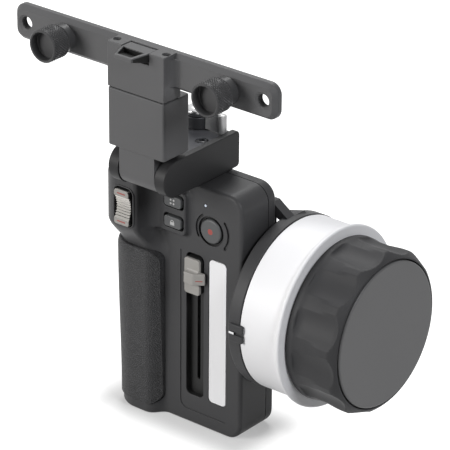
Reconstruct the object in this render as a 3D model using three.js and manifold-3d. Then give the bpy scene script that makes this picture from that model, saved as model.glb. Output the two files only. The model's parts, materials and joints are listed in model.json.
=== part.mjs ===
// Hand unit of a wireless lens focus controller, in millimetres with Z up and the control panel facing -Y.
// The origin is the middle of the flat base. X runs to the side that carries the focus wheel.
import * as THREE from 'three';
import { mergeVertices } from 'three/addons/utils/BufferGeometryUtils.js';
import Module from 'manifold-3d';

const wasm = await Module();
wasm.setup();

// Clearances and working values
const seatGap = 0.3; // between fixed pieces that rest on one another
const shaftGap = 0.08; // round a shaft or a pin in its bore
const runGap = 0.3; // between other pieces that turn past one another
const slideGap = 0.4; // beside a piece that slides
const overrun = 3; // how far a cutting shape passes the face that it cuts

// Body of the hand unit
const bodyWidth = 70.5;
const bodyHeight = 120;
const slabDepth = 24;
const gripProud = 6;
const noseProud = 14;
const panelCornerRadius = 8;
const edgeRound = 1.8;
const tightCorner = 2; // must stay wider than the edge round
const housingWall = 2.4;
const rearShellDepth = 5.7;
const seamGroove = 0.4;

// Hand grip at the left of the body
const gripFaceWidth = 20;
const gripFilletWidth = 9.5;
const gripCornerRadius = 13;
const gripWall = 4;
const rearCornerRadius = 3;

// Rubber skin in its recess on the grip
const skinThickness = 1.4;
const skinProudBase = 0.9;
const skinProudTop = 2.2;
const skinWidth = 27;
const skinBaseMargin = 5.4;
const skinTopMargin = 0.7;
const skinCornerRadius = 6;
const skinDepth = 18.5;

// Nose over the grip, which holds the zoom rocker
const noseHeight = 36; // from the top of the body down to the grip
const noseFaceWidth = 21.6;
const noseSweepWidth = 4;
const noseCornerRadius = 10.5;
const noseUndersideRise = 10.8;
const noseWall = 3;

// Zoom rocker and its slot
const rockerSlotWidth = 10.6;
const rockerSlotHeight = 18.6;
const rockerSlotDrop = 5.4;
const rockerSlotRight = 1.5;
const rockerSlotCorner = 3;
const rockerRimWidth = 0.7;
const rockerRimProud = 0.4;
const rockerWidth = 8.2;
const rockerEndGap = 0.6;
const rockerCorner = 1.6;
const rockerThickness = 5;
const rockerPadProud = 1.8;
const rockerDish = 1.5;
const rockerPadHeight = 4;
const rockerRibs = 7;
const rockerRibProud = 0.4;
const rockerRibWidth = 0.55;
const rockerPinRadius = 1;
const rockerPinDepth = 3.6;
const rockerPinSeat = 2;
const rockerStemRadius = 1.1;
const rockerStemLength = 3.2;
const rockerSwitchWidth = 7;
const rockerSwitchHeight = 10;
const rockerSwitchDepth = 5;
const rockerSwingSpace = 1.2;

// Raised island with two buttons
const islandWidth = 15.2;
const islandHeight = 21;
const islandDrop = 5;
const islandProud = 3;
const islandCorner = 2.5;
const islandEdge = 1;
const islandFoot = 1.6;
const keyWidth = 9.6;
const keyHeight = 5.2;
const keyGap = 0.9; // dark gap round each button
const keyCorner = 1.4;
const keyProud = 1;
const keyRight = 1.8;
const keyUpperDrop = 2.6;
const keyLowerRise = 3.2;
const keyFlange = 1.5; // must stay wider than the gap
const keyFlangeThickness = 1;
const keyTravel = 0.8;
const keyEdge = 0.35;

// Record button in its round recess, with a curved groove on each side
const recordRadius = 5.8;
const recordDrop = 20.3;
const recordFromRight = 17.5;
const recordRecess = 1.2;
const recordRecessDepth = 1.1;
const recordProud = 0.5;
const recordEdge = 0.5;
const fenceInnerRadius = 9.3;
const fenceWidth = 1.5;
const fenceDepth = 0.8;
const fenceHalfAngle = 38;
const hugWidth = 1.1;
const hugHalfAngle = 42;
const hugTurn = 12;
const lightRadius = 0.6;
const lightRise = 11.5;
const lightLeft = 3.2;

// Slider channel, slider and marking strip
const channelWidth = 9.9;
const channelFromRight = 21.5;
const channelBase = 14.9;
const channelTopGap = 6.75;
const channelDepth = 3;
const channelCorner = 2.5;
const channelFloor = 2;
const channelSlit = 1.7;
const channelSlitMargin = 7.4;
const sliderWidth = 8.5;
const sliderHeight = 17.3;
const sliderTopGap = 1.55;
const sliderCorner = 1.3;
const sliderEdge = 0.4;
const sliderPadProud = 2.4;
const sliderGripHeight = 5.5;
const sliderGripProud = 4.9;
const sliderGripInset = 1.5;
const sliderGripWidth = 5.4;
const sliderGripFillet = 1.2;
const sliderWedgeReach = 4;
const sliderWedgeProud = 1.8;
const sliderStemWidth = 1.1;
const sliderStemHeight = 4.4;
const carriageWidth = 7;
const carriageHeight = 9;
const carriageDepth = 2.4;
const trackWidth = 12;
const trackWall = 1.6;
const trackDepth = 6.4;
const stripWidth = 9.7;
const stripFromChannel = 3.2;
const stripCorner = 2;
const stripThickness = 0.8;
const lineWidth = 0.9;
const lineDepth = 0.35;
const lineFromChannel = 3.4;
const lineBase = 6.8;
const lineCorner = 4;
const lineReach = 26;

// Boards, battery and the screws of the housing
const boardThickness = 1.6;
const boardBehindPanel = 14.2;
const boardMargin = 4.5;
const boardNotch = 7;
const chipSide = 9;
const chipHeight = 1.2;
const chipShares = [0.25, 0.45, 0.7];
const keyBoardThickness = 1.2;
const keyBoardBehindPanel = 6;
const postRadius = 2;
const keyPostRadius = 1.2;
const batteryWidth = 17;
const batteryDepth = 15.5;
const batteryHeight = 70;
const batteryCorner = 3;
const batteryBase = 7;
const doorWidth = 22;
const doorHeight = 76;
const doorCorner = 3;
const doorThickness = 2;
const doorTongue = 6;
const doorScoopRadius = 7;
const doorScoopDepth = 0.7;
const screwRadius = 1.5;
const screwHeadRadius = 2.6;
const screwHeadHeight = 1.8;
const screwLength = 9;
const screwBossRadius = 3.4;
const screwBossLength = 11;
const screwBossWeb = 2.4;
const screwInset = 6;
const hexShare = 0.55;
const hexDepthShare = 0.7;
const headTaperShare = 0.8;

// Focus wheel unit on the right of the body
const axisBehindPanel = 27.44;
const axisHeight = 63.6;
const shroudGap = 2.5;
const shroudRadius = 40.5;
const shroudDepth = 6.7;
const shroudWall = 2.5;
const shroudEdge = 1.2;
const drumRadius = 40.2;
const drumWall = 2.3;
const drumLength = 17;
const flangeRadius = 42.2;
const flangeThickness = 2;
const flangeSweep = 3.6;
const flangeRim = 0.9;
const flangeInnerRadius = 33.3;
const wheelRadius = 37.8;
const wheelWaist = 0.8;
const wheelLength = 25.9;
const wheelFrontRadius = 35.5;
const wheelFrontSlope = 1.9;
const wheelRearRound = 0.9;
const wheelFluteCount = 12;
const wheelFluteShare = 0.667;
const wheelFluteRadius = 20;
const wheelFluteStart = 3.2;
const wheelFluteEndRadius = 9;
const wheelFirstFlute = 20.5;
const wheelRimWall = 5.2;
const wheelWebSetback = 3.1;
const wheelWeb = 4;
const capRadius = 33.7;
const capThickness = 2.9;
const capProud = 0.7;
const capEdge = 0.7;
const capGroove = 0.6;
const capLedge = 3;

// Hub, bearings and gears inside the focus wheel unit
const shaftRadius = 3;
const bearingRadius = 6.5;
const bearingThickness = 5;
const sleeveWall = 2.4;
const sleeveLength = 22;
const hubRadius = 8;
const hubLength = 12;
const gearModule = 1.25;
const driveTeeth = 24;
const encoderTeeth = 12;
const gearThickness = 4;
const gearBacklash = 0.35;
const toothTipShare = 0.2;
const toothRootShare = 0.68;
const toothTipHeightShare = 0.85;
const toothRootDepthShare = 1.2;
const encoderRadius = 8.2;
const encoderLength = 9.5;
const encoderSpindleRadius = 1.5;
const encoderSpindleDepth = 5;
const mountBossHeight = 40;
const mountBossInset = 3;
const webLeft = 16;
const webDepth = 12;
const webPlate = 5;
const webTopDrop = 10.2;
const webHeight = 46;
const webNotchDrop = 8;
const webNotchDepth = 5.5;
const webNotchHeight = 9;
const webScrewShares = [0.17, 0.83];
const webScrewInShare = 0.625;

// Index block that points at the drum
const indexWidth = 7.6;
const indexHeight = 8.4;
const indexOverDrum = 2.3;
const indexProud = 1.1;
const indexSlot = 1;
const indexMarkProud = 0.25;
const indexMarkShare = 0.36;
const indexEdge = 0.8;

// Hinge arm on top of the body
const armWidth = 31.9;
const armFromLeft = 17.5;
const armBaseGap = 2;
const armHeight = 17;
const armFront = 27.3;
const armLength = 51.4;
const armEdge = 0.6;
const armRearRound = 2;
const earThickness = 5.6;
const armWall = 3.2;
const armRearWall = 1.2;
const pocketDepth = 7;
const footInset = 2.2;
const leafGap = 0.5;
const leafSideGap = 0.45;
const hingePinRadius = 2.5;
const hingePinSocketDepth = 1.2;
const hingePinCover = 1.6; // wall that hides the pin's right end
const plateThickness = 4.6;
const plateScrewRadius = 1.6;
const plateScrewHead = 2.7;
const plateScrewHeight = 1.2;
const plateScrewLength = 4.4;
const plateScrewFromRight = 8.8;
const plateScrewFromRear = 15.6;
const lockPostRadius = 4.1;
const lockPostHeight = 9;
const lockPostFromLeft = 12.2;
const lockPostFromRear = 5.4;
const lockNeckRadius = 1.9;
const lockNeckHeight = 6.5;
const lockTipRadius = 2.6;
const lockTipHeight = 3;
const lockTipShare = 0.7;
const lockDomeShare = 0.62;
const leverThickness = 2.4;
const leverHeight = 9;
const leverReach = 14.1;
const leverBeadRadius = 2;
const leverBore = 4.2;
const leverWall = 1.1;
const leverRise = 0.6;

// Tilting block and monitor bar above the hinge
const blockWidth = 31.6;
const blockDepth = 17;
const blockGap = 2;
const blockHeight = 27;
const blockEdge = 0.7;
const blockCorner = 1.2; // must stay wider than the block's edge
const blockSetback = 0.3;
const barSeam = 0.4;
const barWidth = 146.3;
const barLeft = 59.6;
const barHeight = 16.4;
const barThickness = 4.6;
const barSetback = 6.6;
const barChamfer = 2;
const barCornerRadius = 5;
const bossHeight = 20.9;
const bossFillet = 3.2;
const bossHoleRadius = 1.8;
const bossHoleInset = 2.1;
const bossHoleFront = 4.2;
const bossHoleDepth = 9;
const endHoleRadius = 3.25;
const endHoleInset = 7;
const endHoleChamfer = 0.8;
const barBoltRadius = 2;
const barBoltLength = 12;
const barBoltSpacing = 18;

// Release tab at the front of the boss
const tabRootWidth = 14.6;
const tabTipWidth = 9.5;
const tabReach = 9;
const tabRootThickness = 4.3;
const tabTipThickness = 1.9;
const tabCentreShift = 0.3;
const tabLeanShare = 0.7;
const tabSeatDepth = 6;
const tabScoopRadius = 7;
const tabScoopDepth = 1.3;
const tabSwing = 0.8;
const tabPinRadius = 1;

// Thumb screws at both ends of the bar
const thumbHeadRadius = 7.6;
const thumbHeadLength = 9.8;
const thumbCupRadius = 6.3;
const thumbCupDepth = 4.4;
const thumbTeeth = 18;
const thumbToothDepth = 0.4;
const thumbNeckRadius = 4;
const thumbNeckLength = 1.1;
const thumbCollarRadius = 6.2;
const thumbCollarLength = 4;
const thumbShankRadius = 3;
const thumbShankOut = 5;
const thumbSpacing = 90.5;
const thumbEdge = 0.7;

// Facet counts
const wheelFacets = 36;
const ringFacets = 36;
const fluteFacets = 22;
const roundFacets = 18;
const smallFacets = 10;
const pinFacets = 6;
const socketSides = 6;
const curveSteps = 3;
const smallSteps = 2;
const edgeSteps = 2;

// Places worked out from the sizes above
const bodyRight = bodyWidth / 2;
const bodyLeft = -bodyRight;
const bodyBack = (slabDepth + gripProud) / 2;
const panelY = bodyBack - slabDepth;
const gripHeight = bodyHeight - noseHeight;
const gripY = panelY - gripProud;
const noseY = panelY - noseProud;
const seamY = bodyBack - rearShellDepth;
const gripShoulderX = bodyLeft + gripFaceWidth;
const gripFootX = gripShoulderX + gripFilletWidth;
const noseRightX = bodyLeft + noseFaceWidth;
const islandLeft = noseRightX + noseSweepWidth;
const islandX = islandLeft + islandWidth / 2;
const islandTop = bodyHeight - islandDrop;
const islandZ = islandTop - islandHeight / 2;
const islandY = panelY - islandProud;
const rockerX = noseRightX - rockerSlotRight - rockerSlotWidth / 2;
const rockerZ = bodyHeight - rockerSlotDrop - rockerSlotHeight / 2;
const recordX = bodyRight - recordFromRight;
const recordZ = bodyHeight - recordDrop;
const channelRight = bodyRight - channelFromRight;
const channelX = channelRight - channelWidth / 2;
const channelTop = recordZ - recordRadius - recordRecess - channelTopGap;
const channelHeight = channelTop - channelBase;
const channelZ = channelBase + channelHeight / 2;
const sliderTop = channelTop - sliderTopGap;
const sliderZ = sliderTop - sliderHeight / 2;
const axisY = panelY + axisBehindPanel;
const shroudX = bodyRight + shroudGap;
const drumX = shroudX + shroudDepth + seatGap;
const flangeX = drumX + drumLength + flangeSweep;
const wheelX = flangeX + flangeThickness + seatGap;
const wheelEndX = wheelX + wheelLength;
const indexX = drumX + indexOverDrum - indexWidth / 2;
const indexFrontY = axisY - drumRadius - runGap - indexProud;
const armX = bodyLeft + armFromLeft + armWidth / 2;
const armLeft = armX - armWidth / 2;
const armRight = armX + armWidth / 2;
const armBase = bodyHeight + armBaseGap;
const armTop = armBase + armHeight;
const armRadius = armHeight / 2;
const armFrontY = panelY - armFront;
const armRearY = armFrontY + armLength;
const hingeY = armFrontY + armRadius;
const hingeZ = armBase + armRadius;
const blockBase = armTop + blockGap;
const blockTop = blockBase + blockHeight;
const blockFrontY = hingeY - blockDepth / 2 - blockSetback;
const barBase = blockTop + barSeam;
const barTop = barBase + bossHeight;
const barFrontY = blockFrontY + barSetback;
const barRearY = barFrontY + barThickness;
const barLeftX = armLeft - barLeft;
const barRightX = barLeftX + barWidth;
const barZ = barTop - barHeight / 2;
// Places of the four screws that hold the rear shell
const screwPlaces = [
  [bodyRight - screwInset, screwInset],
  [bodyRight - screwInset, bodyHeight - screwInset],
  [gripFootX + screwInset, screwInset],
  [gripFootX + screwInset, bodyHeight - screwInset],
];
const keyX = islandLeft + islandWidth - keyRight - keyWidth / 2;
const keyUpperZ = islandTop - keyUpperDrop - keyHeight / 2;
const keyLowerZ = islandTop - islandHeight + keyLowerRise + keyHeight / 2;
const stripX = channelRight + stripFromChannel + stripWidth / 2;
const lightX = recordX - lightLeft;
const lightZ = recordZ + lightRise;
const boardY = panelY + boardBehindPanel;
const keyBoardY = panelY + keyBoardBehindPanel;
const rockerPinY = noseY + rockerPinDepth;
const doorX = (bodyLeft + gripFootX) / 2 - seatGap;
const doorZ = gripWall + doorHeight / 2 + seatGap;
const trackY = panelY + channelDepth + channelFloor + seatGap;
const sleeveBore = bearingRadius + seatGap;
const sleeveRadius = sleeveBore + sleeveWall;
const sleeveX = shroudX + shroudWall;
const sleeveEnd = sleeveX + sleeveLength;
const gearX = sleeveEnd + slideGap;
const gearSpacing = (driveTeeth + encoderTeeth) * gearModule / 2 + gearBacklash;
const encoderZ = axisHeight - gearSpacing;
const webX = wheelX + wheelWebSetback;
const slopeTop = bodyHeight - webTopDrop;
const webScrewX = bodyRight - webLeft * webScrewInShare - housingWall;
const webScrewPlaces = webScrewShares.map((share) => [webScrewX, slopeTop - webHeight * share]);
const leafRight = armRight - earThickness;
const leafLeft = armLeft + earThickness;
const slotRearY = hingeY + armRadius + leafGap;
const plateScrewX = armRight - plateScrewFromRight;
const plateScrewY = armRearY - plateScrewFromRear;
const postX = armLeft + lockPostFromLeft;
const postY = armRearY - lockPostFromRear;
const plateTop = armTop - pocketDepth + seatGap + plateThickness;
const barBoltPlaces = [armX - barBoltSpacing / 2, armX + barBoltSpacing / 2]
  .map((x) => [x, (blockFrontY + barRearY) / 2]);
const holeXs = [barLeftX + endHoleInset, barRightX - endHoleInset];
const thumbXs = [armX - thumbSpacing / 2, armX + thumbSpacing / 2];
const tabX = armX + tabCentreShift - blockEdge / 2;
const tabPinY = blockFrontY + tabSeatDepth - tabPinRadius * 2;
const tabPinZ = barTop - tabRootThickness / 2;

// Shapes and solids

// A closed three.js geometry as a solid that can be joined and cut
function solid(geometry) {
  const plain = geometry.index ? geometry.toNonIndexed() : geometry.clone();
  plain.deleteAttribute('normal');
  plain.deleteAttribute('uv');
  const merged = mergeVertices(plain);
  const corners = merged.index.array;
  const kept = [];
  for (let i = 0; i < corners.length; i += 3) {
    const [a, b, c] = [corners[i], corners[i + 1], corners[i + 2]];
    if (a !== b && b !== c && a !== c) kept.push(a, b, c);
  }
  return new wasm.Manifold(new wasm.Mesh({
    numProp: 3,
    vertProperties: new Float32Array(merged.attributes.position.array),
    triVerts: new Uint32Array(kept),
  }));
}

function union(...pieces) {
  return pieces.reduce((all, piece) => all.add(piece));
}

function cut(body, ...tools) {
  return tools.reduce((left, tool) => left.subtract(tool), body);
}

// Box between two corners
function block(x0, x1, y0, y1, z0, z1) {
  const geometry = new THREE.BoxGeometry(x1 - x0, y1 - y0, z1 - z0);
  geometry.translate((x0 + x1) / 2, (y0 + y1) / 2, (z0 + z1) / 2);
  return solid(geometry);
}

// Turns a geometry drawn along Z so that its length runs along another axis
const layAlong = {
  x: new THREE.Matrix4().makeBasis(
    new THREE.Vector3(0, 1, 0), new THREE.Vector3(0, 0, 1), new THREE.Vector3(1, 0, 0)),
  y: new THREE.Matrix4().makeBasis(
    new THREE.Vector3(1, 0, 0), new THREE.Vector3(0, 0, 1), new THREE.Vector3(0, -1, 0)),
  z: new THREE.Matrix4(),
};

// Outline drawn in the plane square to an axis, as (y, z), (x, z) or (x, y), and drawn out from start to end
function prism(axis, shape, start, end, bevel = 0, bevelDepth = bevel, bevelSteps = 1) {
  const geometry = new THREE.ExtrudeGeometry(shape, {
    depth: Math.abs(end - start) - 2 * bevelDepth,
    bevelEnabled: bevel > 0,
    bevelSize: bevel,
    bevelOffset: -bevel,
    bevelThickness: bevelDepth,
    bevelSegments: bevelSteps,
    curveSegments: curveSteps,
  });
  const low = Math.min(start, end) + bevelDepth;
  if (axis === 'y') geometry.translate(0, 0, -Math.abs(end - start) - Math.min(start, end) + bevelDepth);
  else geometry.translate(0, 0, low);
  geometry.applyMatrix4(layAlong[axis]);
  return solid(geometry);
}

// Rounded rectangle round a middle point
function roundedRect(cx, cy, width, height, radius, steps = curveSteps) {
  const sides = [[1, -1], [1, 1], [-1, 1], [-1, -1]];
  return outline(sides.flatMap(([sideX, sideY], corner) => {
    const middleX = cx + sideX * (width / 2 - radius);
    const middleY = cy + sideY * (height / 2 - radius);
    return Array.from({ length: steps + 1 }, (_, step) => {
      const angle = (corner - 1 + step / steps) * Math.PI / 2;
      return [middleX + radius * Math.cos(angle), middleY + radius * Math.sin(angle)];
    });
  }));
}

// Closed outline through a list of points
function outline(points) {
  return new THREE.Shape(points.map(([x, y]) => new THREE.Vector2(x, y)));
}

// Solid of revolution about an axis through (a, b), from a profile of (radius, place along the axis)
const spinAlong = {
  x: (geometry) => geometry.rotateZ(-Math.PI / 2),
  y: (geometry) => geometry,
  z: (geometry) => geometry.rotateX(Math.PI / 2),
};
function turned(axis, a, b, profile, facets = roundFacets) {
  const geometry = new THREE.LatheGeometry(profile.map(([r, t]) => new THREE.Vector2(r, t)), facets);
  spinAlong[axis](geometry);
  if (axis === 'x') geometry.translate(0, a, b);
  if (axis === 'y') geometry.translate(a, 0, b);
  if (axis === 'z') geometry.translate(a, b, 0);
  return solid(geometry);
}

// Plain round bar along an axis through (a, b)
function rod(axis, a, b, radius, start, end, facets = smallFacets) {
  return turned(axis, a, b, [[0, start], [radius, start], [radius, end], [0, end]], facets);
}

// Hexagonal socket along an axis through (a, b)
function hexSocket(axis, a, b, radius, start, end) {
  return rod(axis, a, b, radius, start, end, socketSides);
}

const assembly = new THREE.Group();

function mesh(group, name, body, colour, roughness, metalness) {
  const { vertProperties, triVerts } = body.getMesh();
  const geometry = new THREE.BufferGeometry();
  geometry.setAttribute('position', new THREE.BufferAttribute(new Float32Array(vertProperties), 3));
  geometry.setIndex(new THREE.BufferAttribute(new Uint32Array(triVerts), 1));
  geometry.translate(-group.position.x, -group.position.y, -group.position.z);
  geometry.computeVertexNormals();
  const material = new THREE.MeshStandardMaterial({ color: colour, roughness, metalness });
  const made = new THREE.Mesh(geometry, material);
  made.name = name;
  group.add(made);
  return made;
}

// A moving group stands at the middle of its joint
function movingGroup(x, y, z) {
  const group = new THREE.Group();
  group.position.set(x, y, z);
  assembly.add(group);
  return group;
}

// Plan of the hand grip, drawn in by inset
function gripPlan(inset, backY) {
  const left = bodyLeft + inset;
  const front = gripY + inset;
  const corner = gripCornerRadius - inset;
  const rear = Math.max(rearCornerRadius - inset, rearCornerRadius / 4);
  const foot = gripFootX - inset / 2;
  const shoulder = gripShoulderX - inset / 2;
  const shape = new THREE.Shape();
  shape.moveTo(left, backY - rear);
  shape.lineTo(left, front + corner);
  shape.absarc(left + corner, front + corner, corner, Math.PI, 1.5 * Math.PI);
  shape.lineTo(shoulder, front);
  shape.bezierCurveTo(
    shoulder + gripFilletWidth / 2, front,
    foot - gripFilletWidth / 2, panelY + inset,
    foot, panelY + inset);
  shape.lineTo(foot, backY);
  shape.absarc(left + rear, backY - rear, rear, Math.PI / 2, Math.PI);
  return shape;
}

// Plan of the nose, whose right side sweeps back to the island
function nosePlan(inset, backY) {
  const left = bodyLeft + inset;
  const right = noseRightX - inset;
  const front = noseY + inset;
  const corner = noseCornerRadius - inset;
  const rear = Math.max(rearCornerRadius - inset, rearCornerRadius / 4);
  const tight = tightCorner;
  const foot = islandLeft - inset / 2;
  const shape = new THREE.Shape();
  shape.moveTo(left, backY - rear);
  shape.lineTo(left, front + corner);
  shape.absarc(left + corner, front + corner, corner, Math.PI, 1.5 * Math.PI);
  shape.absarc(right - tight, front + tight, tight, -Math.PI / 2, 0);
  shape.bezierCurveTo(
    right, islandY - noseSweepWidth + inset,
    right + noseSweepWidth / 4, islandY + inset,
    foot, islandY + inset);
  shape.lineTo(foot, backY);
  shape.absarc(left + rear, backY - rear, rear, Math.PI / 2, Math.PI);
  return shape;
}

// Outer form of both shells before they are parted
function bodyForm() {
  const slabLeft = bodyLeft + gripCornerRadius;
  const slab = prism('y',
    roundedRect((slabLeft + bodyRight) / 2, bodyHeight / 2, bodyRight - slabLeft, bodyHeight,
      panelCornerRadius),
    panelY, bodyBack, edgeRound, edgeRound, edgeSteps);
  const squareLeft = prism('y',
    roundedRect((slabLeft + gripFootX) / 2, bodyHeight / 2, gripFootX - slabLeft, bodyHeight,
      tightCorner, smallSteps),
    panelY + edgeRound, bodyBack, edgeRound);
  const grip = prism('z', gripPlan(0, bodyBack), 0, gripHeight + noseUndersideRise,
    edgeRound, edgeRound, edgeSteps);
  const nose = prism('z', nosePlan(0, bodyBack), gripHeight - edgeRound, bodyHeight,
    edgeRound, edgeRound, edgeSteps);
  const underNose = prism('x', outline([
    [gripY, gripHeight], [noseY, gripHeight + noseUndersideRise],
    [noseY - overrun, gripHeight + noseUndersideRise], [noseY - overrun, gripHeight - noseProud],
    [gripY, gripHeight - noseProud],
  ]), bodyLeft - overrun, islandLeft + overrun);
  const island = prism('y',
    roundedRect(islandX, islandZ, islandWidth, islandHeight, islandCorner, smallSteps),
    islandY, panelY + islandProud, islandEdge);
  const foot = prism('y',
    roundedRect(islandX, islandZ, islandWidth + 2 * islandFoot, islandHeight + 2 * islandFoot,
      islandCorner + islandFoot, smallSteps),
    panelY - islandFoot, panelY + islandProud, islandFoot);
  return union(slab, squareLeft, grip, cut(nose, underNose), island, foot);
}

// Window in the front of the grip, taken by the rubber skin
function skinWindow(grow) {
  const base = skinBaseMargin - grow;
  const top = gripHeight - skinTopMargin + grow;
  const left = bodyLeft - overrun;
  const right = bodyLeft + skinWidth + grow;
  return prism('y',
    roundedRect((left + right) / 2, (base + top) / 2, right - left, top - base, skinCornerRadius),
    gripY - overrun, gripY + skinDepth + grow);
}

const skinCore = (inset) => prism('z', gripPlan(inset, bodyBack), -overrun, gripHeight + overrun);

// Solid between two outlines of the same kind at two heights
function loft(lowShape, lowZ, highShape, highZ) {
  const low = lowShape.getPoints(curveSteps);
  const high = highShape.getPoints(curveSteps);
  const points = [...low.map(({ x, y }) => [x, y, lowZ]), ...high.map(({ x, y }) => [x, y, highZ])];
  const count = low.length;
  const triangles = THREE.ShapeUtils.triangulateShape(low, []);
  const faces = triangles.flatMap(([a, b, c]) => [c, b, a, a + count, b + count, c + count]);
  for (let i = 0; i < count; i += 1) {
    const next = (i + 1) % count;
    faces.push(i, next, next + count, i, next + count, i + count);
  }
  const geometry = new THREE.BufferGeometry();
  geometry.setAttribute('position', new THREE.Float32BufferAttribute(points.flat(), 3));
  geometry.setIndex(faces);
  return solid(geometry);
}

// Round boss with a web to the nearer end wall
function screwBoss(x, z, y0, y1) {
  const wallZ = z < bodyHeight / 2 ? housingWall / 2 : bodyHeight - housingWall / 2;
  return union(rod('y', x, z, screwBossRadius, y0, y1),
    block(x - screwBossWeb / 2, x + screwBossWeb / 2, y0, y1, Math.min(z, wallZ), Math.max(z, wallZ)));
}

// Inside of both shells
function cavity(backY) {
  const slabLeft = gripFootX - gripWall - housingWall;
  const slabRight = bodyRight - housingWall;
  const slab = prism('y',
    roundedRect((slabLeft + slabRight) / 2, bodyHeight / 2, slabRight - slabLeft,
      bodyHeight - 2 * housingWall, panelCornerRadius - housingWall),
    panelY + housingWall, backY);
  const grip = prism('z', gripPlan(gripWall, backY + overrun), gripWall, gripHeight);
  const neck = block(bodyLeft + gripWall, islandLeft, gripY + gripWall + noseWall, backY,
    gripHeight - overrun, gripHeight + noseUndersideRise + noseWall + overrun);
  const nose = prism('z', nosePlan(noseWall, backY + overrun),
    gripHeight + noseUndersideRise + noseWall, bodyHeight - housingWall);
  const behindCavity = block(bodyLeft - overrun, bodyRight + overrun, backY, backY + 2 * overrun + edgeRound,
    -overrun, bodyHeight + overrun);
  return cut(union(slab, grip, neck, nose), behindCavity);
}

// Part of a flat ring between two angles, in degrees round its middle
function arcBand(cx, cy, inner, outer, from, to) {
  const [a, b] = [THREE.MathUtils.degToRad(from), THREE.MathUtils.degToRad(to)];
  const middle = (inner + outer) / 2;
  const cap = (outer - inner) / 2;
  const shape = new THREE.Shape();
  shape.absarc(cx, cy, outer, a, b);
  shape.absarc(cx + middle * Math.cos(b), cy + middle * Math.sin(b), cap, b, b + Math.PI);
  shape.absarc(cx, cy, inner, b, a, true);
  shape.absarc(cx + middle * Math.cos(a), cy + middle * Math.sin(a), cap, a + Math.PI, a + 2 * Math.PI);
  return shape;
}

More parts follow.
